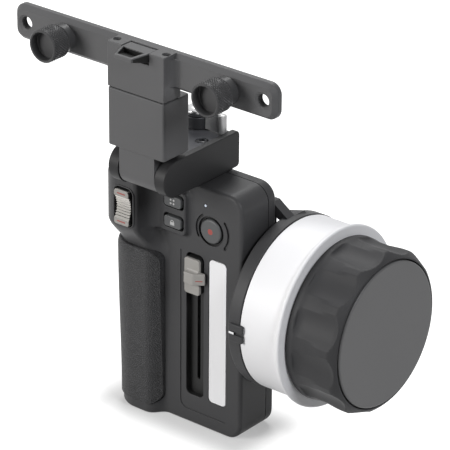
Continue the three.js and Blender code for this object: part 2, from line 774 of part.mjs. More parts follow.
function frontHousing(form) {
  const front = form.subtract(block(bodyLeft - overrun, bodyRight + overrun,
    seamY - seamGroove / 2, bodyBack + overrun, -overrun, bodyHeight + overrun));
  let shell = front.subtract(cavity(seamY + overrun));

  // Tray behind the slider channel, screw bosses and posts for the key board
  const trayMargin = channelFloor + slideGap;
  const tray = block(channelX - channelWidth / 2 - trayMargin, channelX + channelWidth / 2 + trayMargin,
    panelY + edgeRound, panelY + channelDepth + channelFloor,
    channelBase - trayMargin, channelTop + trayMargin);
  const bosses = screwPlaces.map(([x, z]) => screwBoss(x, z, seamY - screwBossLength, seamY - seamGroove));
  const keyPostX = (islandLeft + islandWidth + recordX - recordRadius) / 2;
  const keyPosts = [keyUpperZ, keyLowerZ].map((z) => rod('y', keyPostX, z, keyPostRadius,
    panelY + housingWall / 2, keyBoardY - seatGap, pinFacets));
  shell = union(shell, tray, ...bosses, ...keyPosts);

  // Openings for the controls
  const channel = prism('y',
    roundedRect(channelX, channelZ, channelWidth, channelHeight, channelCorner, smallSteps),
    panelY - overrun, panelY + channelDepth);
  const slit = prism('y', roundedRect(channelX, channelZ, channelSlit,
    channelHeight - 2 * channelSlitMargin, channelSlit / 2 - slideGap / 4, smallSteps),
  panelY, panelY + channelDepth + overrun);
  const strip = prism('y', roundedRect(stripX, channelZ, stripWidth + 2 * seatGap,
    channelHeight + 2 * seatGap, stripCorner + seatGap, smallSteps),
  panelY - overrun, panelY + stripThickness + seatGap);
  const record = rod('y', recordX, recordZ, recordRadius + recordRecess,
    panelY - overrun, panelY + recordRecessDepth, roundFacets);
  const recordHole = rod('y', recordX, recordZ, recordRadius + slideGap,
    panelY - overrun, panelY + housingWall + overrun, roundFacets);
  const light = rod('y', lightX, lightZ, lightRadius + seatGap,
    panelY - overrun, panelY + housingWall + overrun, pinFacets);
  const keys = [keyUpperZ, keyLowerZ].map((z) => prism('y',
    roundedRect(keyX, z, keyWidth + 2 * keyGap, keyHeight + 2 * keyGap, keyCorner + keyGap / 2, smallSteps),
    islandY - overrun, panelY + housingWall + overrun));
  shell = cut(shell, channel, slit, strip, record, recordHole, light, ...keys);

  // Curved grooves beside the record button, and the engraved line round the slider field
  const fence = prism('y', arcBand(recordX, recordZ, fenceInnerRadius, fenceInnerRadius + fenceWidth,
    -fenceHalfAngle, fenceHalfAngle), panelY - overrun, panelY + fenceDepth);
  const hug = prism('y', arcBand(recordX, recordZ, recordRadius + recordRecess + hugWidth / 2,
    recordRadius + recordRecess + 1.5 * hugWidth,
    180 - hugHalfAngle - hugTurn, 180 + hugHalfAngle - hugTurn), panelY - overrun, panelY + fenceDepth);
  const lineX = channelX - channelWidth / 2 - lineFromChannel;
  const line = new THREE.Shape();
  line.moveTo(lineX, channelTop);
  line.lineTo(lineX, lineBase + lineCorner);
  line.absarc(lineX + lineCorner, lineBase + lineCorner, lineCorner, Math.PI, 1.5 * Math.PI);
  line.lineTo(lineX + lineReach, lineBase);
  line.lineTo(lineX + lineReach, lineBase + lineWidth);
  line.absarc(lineX + lineCorner, lineBase + lineCorner, lineCorner - lineWidth,
    1.5 * Math.PI, Math.PI, true);
  line.lineTo(lineX + lineWidth, channelTop);
  shell = cut(shell, fence, hug, prism('y', line, panelY - overrun, panelY + lineDepth));

  // Rocker slot with its raised rim, and the seats of the rocker's pin
  const rim = prism('y', roundedRect(rockerX, rockerZ, rockerSlotWidth + 2 * rockerRimWidth,
    rockerSlotHeight + 2 * rockerRimWidth, rockerSlotCorner + rockerRimWidth, smallSteps),
  noseY - rockerRimProud, noseY + noseWall / 2);
  const slot = prism('y',
    roundedRect(rockerX, rockerZ, rockerSlotWidth, rockerSlotHeight, rockerSlotCorner, smallSteps),
    noseY - overrun, noseY + rockerPinDepth + noseWall);
  const cheekHeight = 4 * rockerPinRadius + 2 * rockerPinSeat;
  const cheeks = [-1, 1].map((side) => {
    const inner = rockerX + side * rockerSlotWidth / 2;
    const outer = inner + side * rockerPinSeat;
    return block(Math.min(inner, outer), Math.max(inner, outer), noseY + noseWall / 2,
      noseY + rockerPinDepth + noseWall, rockerZ - cheekHeight / 2, rockerZ + cheekHeight / 2);
  });
  const pinSeat = rod('x', rockerPinY, rockerZ, rockerPinRadius + seatGap,
    rockerX - rockerSlotWidth / 2 - rockerPinSeat - overrun,
    rockerX + rockerSlotWidth / 2 + rockerPinSeat + overrun, pinFacets);
  shell = cut(union(shell, rim, ...cheeks), slot, pinSeat);

  // Recess of the rubber skin and the pilot holes of the screws
  const skinRecess = skinWindow(seatGap).subtract(skinCore(skinThickness + seatGap));
  const pilots = screwPlaces.map(([x, z]) => rod('y', x, z, screwRadius + seatGap,
    seamY - screwLength, seamY, pinFacets));
  return cut(shell, skinRecess, switchBlock(seatGap), ...pilots);
}

function gripSkin() {
  const outer = loft(gripPlan(-skinProudBase, bodyBack), skinBaseMargin,
    gripPlan(-skinProudTop, bodyBack), gripHeight - skinTopMargin);
  return outer.intersect(skinWindow(0)).subtract(skinCore(skinThickness));
}

function rearHousing(form) {
  const back = form.subtract(block(bodyLeft - overrun, bodyRight + overrun,
    noseY - 2 * overrun, seamY + seamGroove / 2, -overrun, bodyHeight + overrun));
  let shell = back.subtract(cavity(bodyBack - housingWall));
  const bosses = screwPlaces.map(([x, z]) => screwBoss(x, z, seamY + seamGroove / 2, bodyBack - edgeRound));
  const postPlaces = [[channelX, channelTop], [bodyRight - screwBossRadius * 2, bodyHeight / 2]];
  const posts = postPlaces.map(([x, z]) => rod('y', x, z, postRadius,
    boardY + boardThickness + seatGap, bodyBack - edgeRound));
  shell = union(shell, ...bosses, ...posts);
  const doorway = prism('y', roundedRect(doorX, doorZ, doorWidth + 2 * seatGap,
    doorHeight + 2 * seatGap, doorCorner + seatGap, smallSteps), seamY, bodyBack + overrun);
  const screwHoles = screwPlaces.map(([x, z]) => union(
    rod('y', x, z, screwRadius + seatGap, seamY - overrun, bodyBack + overrun, pinFacets),
    rod('y', x, z, screwHeadRadius + seatGap, bodyBack - screwHeadHeight - seatGap, bodyBack + overrun)));
  const armPilots = webScrewPlaces.map(([x, z]) => rod('y', x, z, screwRadius + seatGap,
    seamY + seamGroove, bodyBack + overrun, pinFacets));
  return cut(shell, doorway, ...screwHoles, ...armPilots);
}

function batteryDoor() {
  const plate = prism('y', roundedRect(doorX, doorZ, doorWidth, doorHeight, doorCorner, smallSteps),
    bodyBack - doorThickness, bodyBack);
  const top = doorZ + doorHeight / 2;
  const tongue = block(doorX - doorTongue / 2, doorX + doorTongue / 2,
    bodyBack - doorThickness - housingWall, bodyBack - doorThickness / 2,
    top - doorTongue, top - housingWall);
  const scoop = rod('z', doorX, bodyBack + doorScoopRadius - doorScoopDepth, doorScoopRadius,
    top - 2 * doorTongue, top - doorTongue, roundFacets);
  return cut(union(plate, tongue), scoop);
}

function countersunkScrew(x, z) {
  const head = rod('y', x, z, screwHeadRadius, bodyBack - screwHeadHeight, bodyBack - seatGap);
  const shank = rod('y', x, z, screwRadius, bodyBack - screwHeadHeight - screwLength,
    bodyBack - screwHeadHeight / 2, pinFacets);
  const socket = hexSocket('y', x, z, screwHeadRadius * hexShare,
    bodyBack - screwHeadHeight * hexDepthShare, bodyBack + overrun);
  return cut(union(head, shank), socket);
}

// Key cap with a flange that stops behind the wall
function keyCap(z) {
  const flangeY = panelY + housingWall + slideGap;
  const cap = prism('y', roundedRect(keyX, z, keyWidth, keyHeight, keyCorner, smallSteps),
    islandY - keyProud, flangeY + keyFlangeThickness, keyEdge);
  const flange = prism('y', roundedRect(keyX, z, keyWidth + 2 * keyFlange, keyHeight + 2 * keyFlange,
    keyCorner + keyFlange, smallSteps), flangeY, flangeY + keyFlangeThickness);
  const plunger = rod('y', keyX, z, keyCorner, flangeY, keyBoardY - keyTravel - seatGap, pinFacets);
  return union(cap, flange, plunger);
}

function recordButton() {
  const flangeY = panelY + housingWall + slideGap;
  return turned('y', recordX, recordZ, [
    [0, panelY - recordProud], [recordRadius - 2 * recordEdge, panelY - recordProud],
    [recordRadius - recordEdge / 2, panelY - recordProud + recordEdge / 3],
    [recordRadius, panelY - recordProud + recordEdge], [recordRadius, flangeY],
    [recordRadius + keyFlange, flangeY], [recordRadius + keyFlange, flangeY + keyFlangeThickness / 2],
    [keyCorner, flangeY + keyFlangeThickness / 2], [keyCorner, keyBoardY - keyTravel - seatGap],
    [0, keyBoardY - keyTravel - seatGap],
  ]);
}

function keyBoard() {
  const left = islandLeft + housingWall;
  const right = recordX + recordRadius;
  const base = recordZ - recordRadius;
  const top = islandTop - housingWall / 2;
  const board = block(left, right, keyBoardY, keyBoardY + keyBoardThickness, base, top);
  const clearBase = channelTop + channelFloor + slideGap + seatGap;
  const roomBelow = block(left - overrun, right + overrun, keyBoardY - overrun,
    keyBoardY + keyBoardThickness + overrun, base - 2 * overrun, Math.max(clearBase, base - overrun));
  return board.subtract(roomBelow);
}

function mainBoard() {
  const left = gripFootX - gripWall;
  const right = bodyRight - boardMargin;
  const board = prism('y', roundedRect((left + right) / 2, bodyHeight / 2, right - left,
    bodyHeight - 2 * boardMargin, boardThickness, smallSteps), boardY, boardY + boardThickness);
  const notches = screwPlaces.map(([x, z]) => block(x - boardNotch, x + boardNotch,
    boardY - overrun, boardY + boardThickness + overrun, z - boardNotch, z + boardNotch));
  const chips = chipShares.map((share) => block(right - 2 * chipSide, right - chipSide,
    boardY + boardThickness / 2, boardY + boardThickness + chipHeight,
    bodyHeight * share - chipSide / 2, bodyHeight * share + chipSide / 2));
  return union(cut(board, ...notches), ...chips);
}

function batteryPack() {
  const x = doorX;
  const back = bodyBack - doorThickness - seatGap - housingWall;
  return prism('z',
    roundedRect(x, back - batteryDepth / 2, batteryWidth, batteryDepth, batteryCorner, smallSteps),
    batteryBase, batteryBase + batteryHeight, edgeRound / 2);
}

// Slide potentiometer behind the channel, open to the front for its carriage
function sliderTrack() {
  const body = block(channelX - trackWidth / 2, channelX + trackWidth / 2, trackY, trackY + trackDepth,
    channelBase - channelFloor, channelTop + channelFloor);
  const groove = block(channelX - carriageWidth / 2 - slideGap, channelX + carriageWidth / 2 + slideGap,
    trackY + trackWall - slideGap, trackY + trackWall + carriageDepth + slideGap,
    channelBase, channelTop);
  const mouth = block(channelX - sliderStemWidth / 2 - slideGap, channelX + sliderStemWidth / 2 + slideGap,
    trackY - overrun, trackY + trackWall,
    channelBase + channelSlitMargin / 2, channelTop - channelSlitMargin / 2);
  return cut(body, groove, mouth);
}

function sliderCarriage() {
  return prism('y',
    roundedRect(channelX, sliderZ, carriageWidth, carriageHeight, sliderStemWidth, smallSteps),
    trackY + trackWall, trackY + trackWall + carriageDepth);
}

// Slider: a flat pad above and below a block that stands out between them, a wedge that runs from the
// block over the edge of the panel, and a stem through the slit
function irisSlider() {
  const right = channelX + sliderWidth / 2;
  const base = panelY + channelDepth - slideGap;
  const padY = panelY - sliderPadProud;
  const pads = prism('y',
    roundedRect(channelX, sliderZ, sliderWidth, sliderHeight, sliderCorner, smallSteps),
    padY, base, sliderEdge);
  const faceLeft = right - sliderWidth + sliderGripInset;
  const faceRight = faceLeft + sliderGripWidth;
  const wedgeEnd = faceRight + sliderWedgeReach;
  const half = sliderGripHeight / 2;
  const grip = prism('z', outline([
    [faceLeft, panelY - slideGap], [faceLeft, panelY - sliderGripProud],
    [faceRight, panelY - sliderGripProud], [wedgeEnd, panelY - sliderWedgeProud],
    [wedgeEnd, panelY - slideGap],
  ]), sliderZ - half, sliderZ + half, sliderEdge);
  const fillets = [-1, 1].map((side) => {
    const curve = new THREE.QuadraticBezierCurve(
      new THREE.Vector2(padY, sliderZ + side * (half + sliderGripFillet)),
      new THREE.Vector2(padY, sliderZ + side * half),
      new THREE.Vector2(padY - sliderGripFillet, sliderZ + side * half));
    return prism('x', outline([
      [padY + sliderEdge, sliderZ + side * (half + sliderGripFillet)],
      ...curve.getPoints(curveSteps).map((point) => [point.x, point.y]),
      [padY - sliderGripFillet, sliderZ + side * (half - sliderEdge)],
      [padY + sliderEdge, sliderZ + side * (half - sliderEdge)],
    ]), faceLeft, right - sliderEdge);
  });
  const stem = block(channelX - sliderStemWidth / 2, channelX + sliderStemWidth / 2,
    base - slideGap, trackY + trackWall - seatGap,
    sliderZ - sliderStemHeight / 2, sliderZ + sliderStemHeight / 2);
  return union(pads, grip, ...fillets, stem);
}

function markingStrip() {
  return prism('y', roundedRect(stripX, channelZ, stripWidth,
    channelHeight, stripCorner, smallSteps), panelY, panelY + stripThickness);
}

function statusLight() {
  return turned('y', lightX, lightZ, [
    [0, panelY], [lightRadius, panelY], [lightRadius, panelY + housingWall + seatGap],
    [2 * lightRadius, panelY + housingWall + seatGap], [2 * lightRadius, panelY + 2 * housingWall],
    [0, panelY + 2 * housingWall],
  ], pinFacets);
}

// Rocker with a dished, ribbed middle between two raised end pads
function zoomRocker() {
  const half = rockerSlotHeight / 2 - rockerEndGap;
  const front = noseY - rockerPadProud;
  const dish = new THREE.QuadraticBezierCurve(
    new THREE.Vector2(front, rockerZ + half - rockerPadHeight),
    new THREE.Vector2(front + 2 * rockerDish, rockerZ),
    new THREE.Vector2(front, rockerZ - half + rockerPadHeight));
  const back = front + rockerThickness;
  const profile = outline([
    [back, rockerZ - half + rockerPadHeight], [back - rockerDish, rockerZ - half],
    [front + rockerDish / 2, rockerZ - half], [front, rockerZ - half + rockerDish / 2],
    ...dish.getPoints(2 * curveSteps).reverse().map((point) => [point.x, point.y]),
    [front, rockerZ + half - rockerDish / 2], [front + rockerDish / 2, rockerZ + half],
    [back - rockerDish, rockerZ + half], [back, rockerZ + half - rockerPadHeight],
  ].reverse());
  const plan = prism('y', roundedRect(rockerX, rockerZ, rockerWidth, 2 * half, rockerCorner, smallSteps),
    front - overrun, back + overrun);
  const body = prism('x', profile, rockerX - rockerWidth / 2, rockerX + rockerWidth / 2).intersect(plan);
  const span = 2 * (half - rockerPadHeight);
  const ribs = [];
  for (let i = 0; i < rockerRibs; i += 1) {
    const share = (i + 1) / (rockerRibs + 1);
    const place = dish.getPoint(share);
    ribs.push(block(rockerX - rockerWidth / 2, rockerX + rockerWidth / 2,
      place.x - rockerRibProud, place.x + rockerDish,
      rockerZ + span / 2 - span * share - rockerRibWidth / 2,
      rockerZ + span / 2 - span * share + rockerRibWidth / 2));
  }
  const lug = rod('x', rockerPinY, rockerZ, rockerPinRadius + rockerPinSeat / 2,
    rockerX - rockerWidth / 2, rockerX + rockerWidth / 2);
  const stem = rod('y', rockerX, rockerZ, rockerStemRadius, back - rockerDish,
    rockerPinY + rockerPinRadius + rockerStemLength, pinFacets);
  const bore = rod('x', rockerPinY, rockerZ, rockerPinRadius + shaftGap,
    rockerX - rockerWidth, rockerX + rockerWidth, roundFacets);
  return union(body, lug, stem, ...ribs).subtract(bore);
}

function rockerPin() {
  const reach = rockerSlotWidth / 2 + rockerPinSeat;
  return rod('x', rockerPinY, rockerZ, rockerPinRadius, rockerX - reach, rockerX + reach, pinFacets);
}

// Outside of the switch behind the rocker, grown for the room round it
function switchBlock(grow) {
  const stemEnd = rockerPinY + rockerPinRadius + rockerStemLength;
  return block(rockerX - rockerSwitchWidth / 2 - grow, rockerX + rockerSwitchWidth / 2 + grow,
    stemEnd - rockerStemLength / 2 - grow, stemEnd + rockerSwitchDepth + grow,
    rockerZ - rockerSwitchHeight / 2 - grow, rockerZ + rockerSwitchHeight / 2 + grow);
}

// Two-way switch behind the rocker, with a notch that the rocker's stem works in
function rockerSwitch() {
  const stemEnd = rockerPinY + rockerPinRadius + rockerStemLength;
  const notch = block(rockerX - rockerStemRadius - slideGap, rockerX + rockerStemRadius + slideGap,
    stemEnd - rockerStemLength - overrun, stemEnd + slideGap,
    rockerZ - rockerStemRadius - rockerSwingSpace, rockerZ + rockerStemRadius + rockerSwingSpace);
  return switchBlock(0).subtract(notch);
}

// Focus wheel unit

// Cup behind the drum with the bearing sleeve, the index block and the arm that bolts to the rear shell
function knobShroud() {
  const rim = shroudX + shroudDepth;
  const inner = drumRadius - drumWall;
  const cup = turned('x', axisY, axisHeight, [
    [0, shroudX], [shroudRadius - shroudEdge, shroudX], [shroudRadius, shroudX + shroudEdge],
    [shroudRadius, rim], [inner, rim], [inner, sleeveX], [sleeveRadius, sleeveX],
    [sleeveRadius, sleeveEnd], [sleeveBore, sleeveEnd], [sleeveBore, sleeveX], [0, sleeveX],
  ], ringFacets);
  const pedestal = rod('x', axisY, encoderZ, encoderRadius, shroudX + shroudWall / 2,
    sleeveEnd - encoderLength - slideGap);
  const bossBase = axisHeight - mountBossHeight / 2;
  const bossTop = axisHeight + mountBossHeight / 2;
  const mountBoss = block(bodyRight + seatGap, shroudX + shroudWall / 2,
    panelY + edgeRound + mountBossInset, bodyBack - edgeRound - mountBossInset, bossBase, bossTop);

  // Arm behind the rear shell: its top slopes down to the cup, and a notch is cut beneath the slope
  const armBackY = bodyBack + seatGap;
  const cupTop = axisHeight + shroudRadius;
  const arm = prism('y', outline([
    [bodyRight - webLeft, slopeTop - webHeight], [rim, slopeTop - webHeight],
    [rim, cupTop - shroudWall], [shroudX + shroudDepth / 2, cupTop],
    [bodyRight - housingWall, slopeTop], [bodyRight - webLeft, slopeTop],
  ]), armBackY, armBackY + webPlate);
  const gusset = prism('y', outline([
    [bodyRight - housingWall, axisHeight], [rim, axisHeight],
    [rim, cupTop - shroudWall], [shroudX + shroudDepth / 2, cupTop],
    [bodyRight - housingWall, slopeTop - webNotchDrop],
  ]), armBackY, armBackY + webDepth);
  const notch = prism('y', outline([
    [bodyRight - webLeft / 4, slopeTop - webNotchDrop + webNotchHeight / 4],
    [bodyRight + webNotchDepth - housingWall, slopeTop - webNotchDrop],
    [bodyRight - webLeft / 4, slopeTop - webNotchDrop - webNotchHeight],
  ]), armBackY - overrun, armBackY + webPlate + overrun);
  const insideCup = rod('x', axisY, axisHeight, inner, sleeveX, rim + overrun, ringFacets);
  const shape = union(cup, mountBoss, cut(union(arm, gusset), notch, insideCup), pedestal);

  // Index block, hollowed to clear the drum that turns beneath it
  const indexBlock = prism('y',
    roundedRect(indexX, axisHeight, indexWidth, indexHeight, indexEdge, smallSteps),
    indexFrontY, axisY - inner - shroudWall / 2, indexEdge / 2);
  const drumRoom = rod('x', axisY, axisHeight, drumRadius + runGap, rim + seatGap / 2,
    indexX + indexWidth, ringFacets);
  const markSlot = block(indexX - indexWidth, indexX + indexWidth,
    indexFrontY - overrun, indexFrontY + indexProud / 2 + seatGap,
    axisHeight - indexSlot / 2 - seatGap, axisHeight + indexSlot / 2 + seatGap);
  return cut(union(shape, cut(indexBlock, insideCup, drumRoom)), markSlot, ...webScrewHoles());
}

function webScrewHoles() {
  return webScrewPlaces.map(([x, z]) => rod('y', x, z, screwRadius + seatGap,
    bodyBack - overrun, bodyBack + seatGap + webPlate + overrun, pinFacets));
}

// Screw through the arm into the rear shell
function webScrew([x, z]) {
  const face = bodyBack + seatGap + webPlate;
  const head = rod('y', x, z, screwHeadRadius, face + seatGap, face + seatGap + screwHeadHeight);
  const shank = rod('y', x, z, screwRadius, bodyBack - housingWall + seatGap,
    face + screwHeadHeight, pinFacets);
  const socket = hexSocket('y', x, z, screwHeadRadius * hexShare,
    face + seatGap + screwHeadHeight * (1 - hexDepthShare), face + screwHeadHeight + overrun);
  return cut(union(head, shank), socket);
}

function indexMark() {
  const left = indexX - indexWidth / 2 + indexEdge / 2;
  return block(left, left + indexWidth * indexMarkShare,
    indexFrontY - indexMarkProud, indexFrontY + indexProud / 2,
    axisHeight - indexSlot / 2, axisHeight + indexSlot / 2);
}

function markingRing() {
  const inner = drumRadius - drumWall;
  const sweepX = drumX + drumLength;
  const sweep = new THREE.QuadraticBezierCurve(
    new THREE.Vector2(drumRadius, sweepX), new THREE.Vector2(drumRadius, flangeX),
    new THREE.Vector2(flangeRadius - flangeRim / 2, flangeX));
  const end = flangeX + flangeThickness;
  return turned('x', axisY, axisHeight, [
    [inner, drumX], [drumRadius, drumX],
    ...sweep.getPoints(curveSteps).map((point) => [point.x, point.y]),
    [flangeRadius, flangeX + flangeRim], [flangeRadius - flangeRim / 2, end],
    [flangeInnerRadius, end], [flangeInnerRadius, flangeX], [inner, flangeX - flangeThickness],
    [inner, drumX],
  ], ringFacets);
}

// Fluted hand wheel: a waisted cup with a web and a hub
function focusWheel() {
  const ledge = capRadius - capLedge;
  const rimInner = wheelRadius - wheelRimWall;
  const capSeat = wheelEndX + capProud - capThickness - seatGap;
  const waist = wheelRadius - wheelWaist;
  const wheel = turned('x', axisY, axisHeight, [
    [shaftRadius + seatGap, webX], [rimInner, webX], [rimInner, wheelX],
    [wheelRadius - wheelRearRound, wheelX], [wheelRadius, wheelX + wheelRearRound],
    [waist, wheelX + 2 * wheelFluteStart], [waist, wheelX + wheelLength / 2],
    [wheelRadius, wheelEndX - wheelFrontSlope],
    [wheelFrontRadius, wheelEndX], [capRadius + capGroove, wheelEndX], [capRadius + capGroove, capSeat],
    [ledge, capSeat], [ledge, webX + wheelWeb], [hubRadius, webX + wheelWeb],
    [hubRadius, webX + hubLength], [shaftRadius + seatGap, webX + hubLength],
    [shaftRadius + seatGap, webX],
  ], wheelFacets);

  const fluteHalf = THREE.MathUtils.degToRad(180 / wheelFluteCount * wheelFluteShare);
  const chord = waist * Math.sin(fluteHalf);
  const middle = waist * Math.cos(fluteHalf) + Math.sqrt(wheelFluteRadius ** 2 - chord ** 2);
  const flutes = [];
  for (let i = 0; i < wheelFluteCount; i += 1) {
    const angle = THREE.MathUtils.degToRad(wheelFirstFlute + i * 360 / wheelFluteCount);
    const start = wheelX + wheelFluteStart;
    const lead = wheelFluteEndRadius;
    flutes.push(turned('x', axisY - middle * Math.cos(angle), axisHeight + middle * Math.sin(angle), [
      [0, start], [wheelFluteRadius - lead / 6, start], [wheelFluteRadius, start + lead / 2],
      [wheelFluteRadius, wheelEndX + overrun], [0, wheelEndX + overrun],
    ], fluteFacets));
  }
  return cut(wheel, ...flutes);
}

function wheelCap() {
  const front = wheelEndX + capProud;
  const back = front - capThickness;
  return turned('x', axisY, axisHeight, [
    [0, back], [capRadius, back], [capRadius, front - capEdge], [capRadius - capEdge, front], [0, front],
  ], ringFacets);
}

function wheelShaft() {
  const start = sleeveX + seatGap;
  const end = webX + hubLength + gearThickness / 2;
  const shaft = rod('x', axisY, axisHeight, shaftRadius, start, end);
  const collarStart = webX + hubLength + seatGap;
  const collar = rod('x', axisY, axisHeight, shaftRadius + seatGap * 4, collarStart, end);
  return union(shaft, collar);
}

function bearing(start) {
  return turned('x', axisY, axisHeight, [
    [shaftRadius + shaftGap, start], [bearingRadius, start], [bearingRadius, start + bearingThickness],
    [shaftRadius + shaftGap, start + bearingThickness], [shaftRadius + shaftGap, start],
  ]);
}

// Spur gear about an axis along X, with one tooth or one gap at the angle of its mate
function gear(teeth, z, bore, startAngle) {
  const pitch = teeth * gearModule / 2;
  const tip = pitch + gearModule * toothTipHeightShare;
  const root = pitch - gearModule * toothRootDepthShare;
  const step = 2 * Math.PI / teeth;
  const points = [];
  for (let i = 0; i < teeth; i += 1) {
    const middle = startAngle + i * step;
    const flanks = [
      [root, -toothRootShare], [tip, -toothTipShare], [tip, toothTipShare], [root, toothRootShare],
    ];
    for (const [radius, share] of flanks) {
      const angle = middle + share * step / 2;
      points.push([axisY + radius * Math.cos(angle), z + radius * Math.sin(angle)]);
    }
  }
  const body = prism('x', outline(points), gearX, gearX + gearThickness);
  if (!bore) return body;
  return body.subtract(rod('x', axisY, z, bore, gearX - overrun, gearX + gearThickness + overrun));
}

function encoderGear() {
  const spindle = rod('x', axisY, encoderZ, encoderSpindleRadius,
    sleeveEnd - encoderSpindleDepth, gearX + gearThickness / 2);
  const step = Math.PI / encoderTeeth;
  return union(gear(encoderTeeth, encoderZ, 0, Math.PI / 2 + step), spindle);
}

function encoderBody() {
  const start = sleeveEnd - encoderLength;
  const body = rod('x', axisY, encoderZ, encoderRadius, start, sleeveEnd);
  const clear = rod('x', axisY, axisHeight, sleeveRadius + seatGap,
    start - overrun, sleeveEnd + overrun, roundFacets);
  const bore = rod('x', axisY, encoderZ, encoderSpindleRadius + shaftGap,
    sleeveEnd - encoderSpindleDepth - slideGap, sleeveEnd + overrun, roundFacets);
  return cut(body, clear, bore);
}

// Hinge arm and what stands on it

function hingeArm() {
  const side = new THREE.Shape();
  side.absarc(hingeY, hingeZ, armRadius, Math.PI / 2, 1.5 * Math.PI);
  side.absarc(armRearY - armRearRound, armBase + armRearRound, armRearRound, -Math.PI / 2, 0);
  side.absarc(armRearY - armRearRound, armTop - armRearRound, armRearRound, 0, Math.PI / 2);
  const arm = prism('x', side, armLeft, armRight, armEdge);
  const foot = block(armLeft + footInset, armRight - footInset, panelY + edgeRound * 2,
    Math.min(armRearY - footInset, bodyBack - edgeRound), bodyHeight + seatGap, armBase + armEdge);
  const slot = block(leafLeft, leafRight, armFrontY - overrun, slotRearY,
    armBase - overrun, armTop + overrun);
  const pocket = block(armLeft + armWall, armRight - armWall, slotRearY + armWall, armRearY - armRearWall,
    armTop - pocketDepth, armTop + overrun);
  const deckOpening = block(armLeft + armWall, armRight - armWall, slotRearY - overrun, armRearY + overrun,
    armTop - pocketDepth + plateThickness + seatGap, armTop + overrun);
  const pinBore = rod('x', hingeY, hingeZ, hingePinRadius + seatGap,
    armLeft - overrun, armRight - hingePinCover);
  const screwBore = rod('z', plateScrewX, plateScrewY, plateScrewRadius + seatGap,
    armTop - pocketDepth - plateScrewLength, armTop, pinFacets);
  return cut(union(arm, foot), slot, pocket, deckOpening, pinBore, screwBore);
}

// Pin pressed in from the left, where its socket shows
function hingePin() {
  const end = armLeft + armEdge;
  const pin = rod('x', hingeY, hingeZ, hingePinRadius, end, armRight - hingePinCover - seatGap);
  return cut(pin, hexSocket('x', hingeY, hingeZ, hingePinRadius * hexShare,
    end - overrun, end + hingePinSocketDepth));
}

function mountPlate() {
  const front = slotRearY + armWall + seatGap;
  const rear = armRearY - armRearWall - seatGap;
  const plate = prism('z', roundedRect(armX, (front + rear) / 2, armWidth - 2 * armWall - 2 * seatGap,
    rear - front, armEdge, smallSteps), plateTop - plateThickness, plateTop);
  const bore = rod('z', plateScrewX, plateScrewY, plateScrewRadius + seatGap,
    plateTop - plateThickness - overrun, plateTop + overrun, pinFacets);
  const sink = rod('z', plateScrewX, plateScrewY, plateScrewHead + seatGap,
    plateTop - plateScrewHeight, plateTop + overrun);
  return cut(plate, bore, sink);
}

function plateScrew() {
  const headBase = plateTop - plateScrewHeight + seatGap;
  const head = turned('z', plateScrewX, plateScrewY, [
    [0, headBase], [plateScrewHead, headBase], [plateScrewHead, headBase + plateScrewHeight / 2],
    [plateScrewHead * headTaperShare, headBase + plateScrewHeight], [0, headBase + plateScrewHeight],
  ]);
  const shank = rod('z', plateScrewX, plateScrewY, plateScrewRadius,
    plateTop - plateThickness - plateScrewLength / 2, headBase + plateScrewHeight / 2, pinFacets);
  const socket = hexSocket('z', plateScrewX, plateScrewY, plateScrewHead * hexShare,
    headBase + plateScrewHeight * (1 - hexDepthShare), headBase + 2 * plateScrewHeight);
  return cut(union(head, shank), socket);
}

function lockPost() {
  const base = plateTop + seatGap;
  const shoulder = base + leverHeight + 2 * leverRise;
  const dome = shoulder + lockPostHeight / 3;
  const neck = dome + lockNeckHeight;
  return turned('z', postX, postY, [
    [0, base], [leverBore - shaftGap, base], [leverBore - shaftGap, shoulder],
    [lockPostRadius + leverWall, shoulder + runGap], [lockPostRadius + leverWall / 2, dome - leverWall / 4],
    [lockPostRadius * lockDomeShare, dome + leverWall / 2],
    [lockNeckRadius, dome + leverWall], [lockNeckRadius, neck],
    [lockTipRadius, neck + lockTipHeight / 4], [lockTipRadius, neck + lockTipHeight * lockTipShare],
    [lockNeckRadius, neck + lockTipHeight], [0, neck + lockTipHeight],
  ]);
}

// Lever that swings round the lock post: a hub, a flat blade and a round bead at its end
function clampLever() {
  const base = plateTop + seatGap + leverRise;
  const top = base + leverHeight;
  const hubOuter = leverBore + leverWall;
  const hub = rod('z', postX, postY, hubOuter, base, top, roundFacets);
  const beadX = postX + leverReach;
  const blade = block(postX, beadX, postY - leverThickness / 2, postY + leverThickness / 2, base, top);
  const bead = turned('z', beadX, postY, [
    [0, base], [leverBeadRadius, base], [leverBeadRadius, top - leverRise / 2],
    [leverBeadRadius - leverRise / 2, top], [0, top],
  ]);
  const bore = rod('z', postX, postY, leverBore, base - overrun, top + overrun, roundFacets);
  return cut(union(hub, blade, bead), bore);
}

// Tilting block whose leaf turns between the ears
function tiltBlock() {
  const leafShape = new THREE.Shape();
  leafShape.moveTo(hingeY + armRadius, blockBase + blockEdge * 2);
  leafShape.lineTo(hingeY - armRadius, blockBase + blockEdge * 2);
  leafShape.absarc(hingeY, hingeZ, armRadius, Math.PI, 2 * Math.PI);
  const leaf = prism('x', leafShape, leafLeft + leafSideGap, leafRight - leafSideGap);
  const middleY = blockFrontY + blockDepth / 2;
  const body = prism('z', roundedRect(armX, middleY, blockWidth, blockDepth, blockCorner, smallSteps),
    blockBase, blockTop, blockEdge);
  const bore = rod('x', hingeY, hingeZ, hingePinRadius + shaftGap, armLeft, armRight, roundFacets);
  const boltHoles = barBoltPlaces.map(([x, y]) => rod('z', x, y, barBoltRadius + seatGap,
    blockTop - barBoltLength, blockTop + overrun, pinFacets));
  return cut(union(leaf, body), bore, ...boltHoles);
}

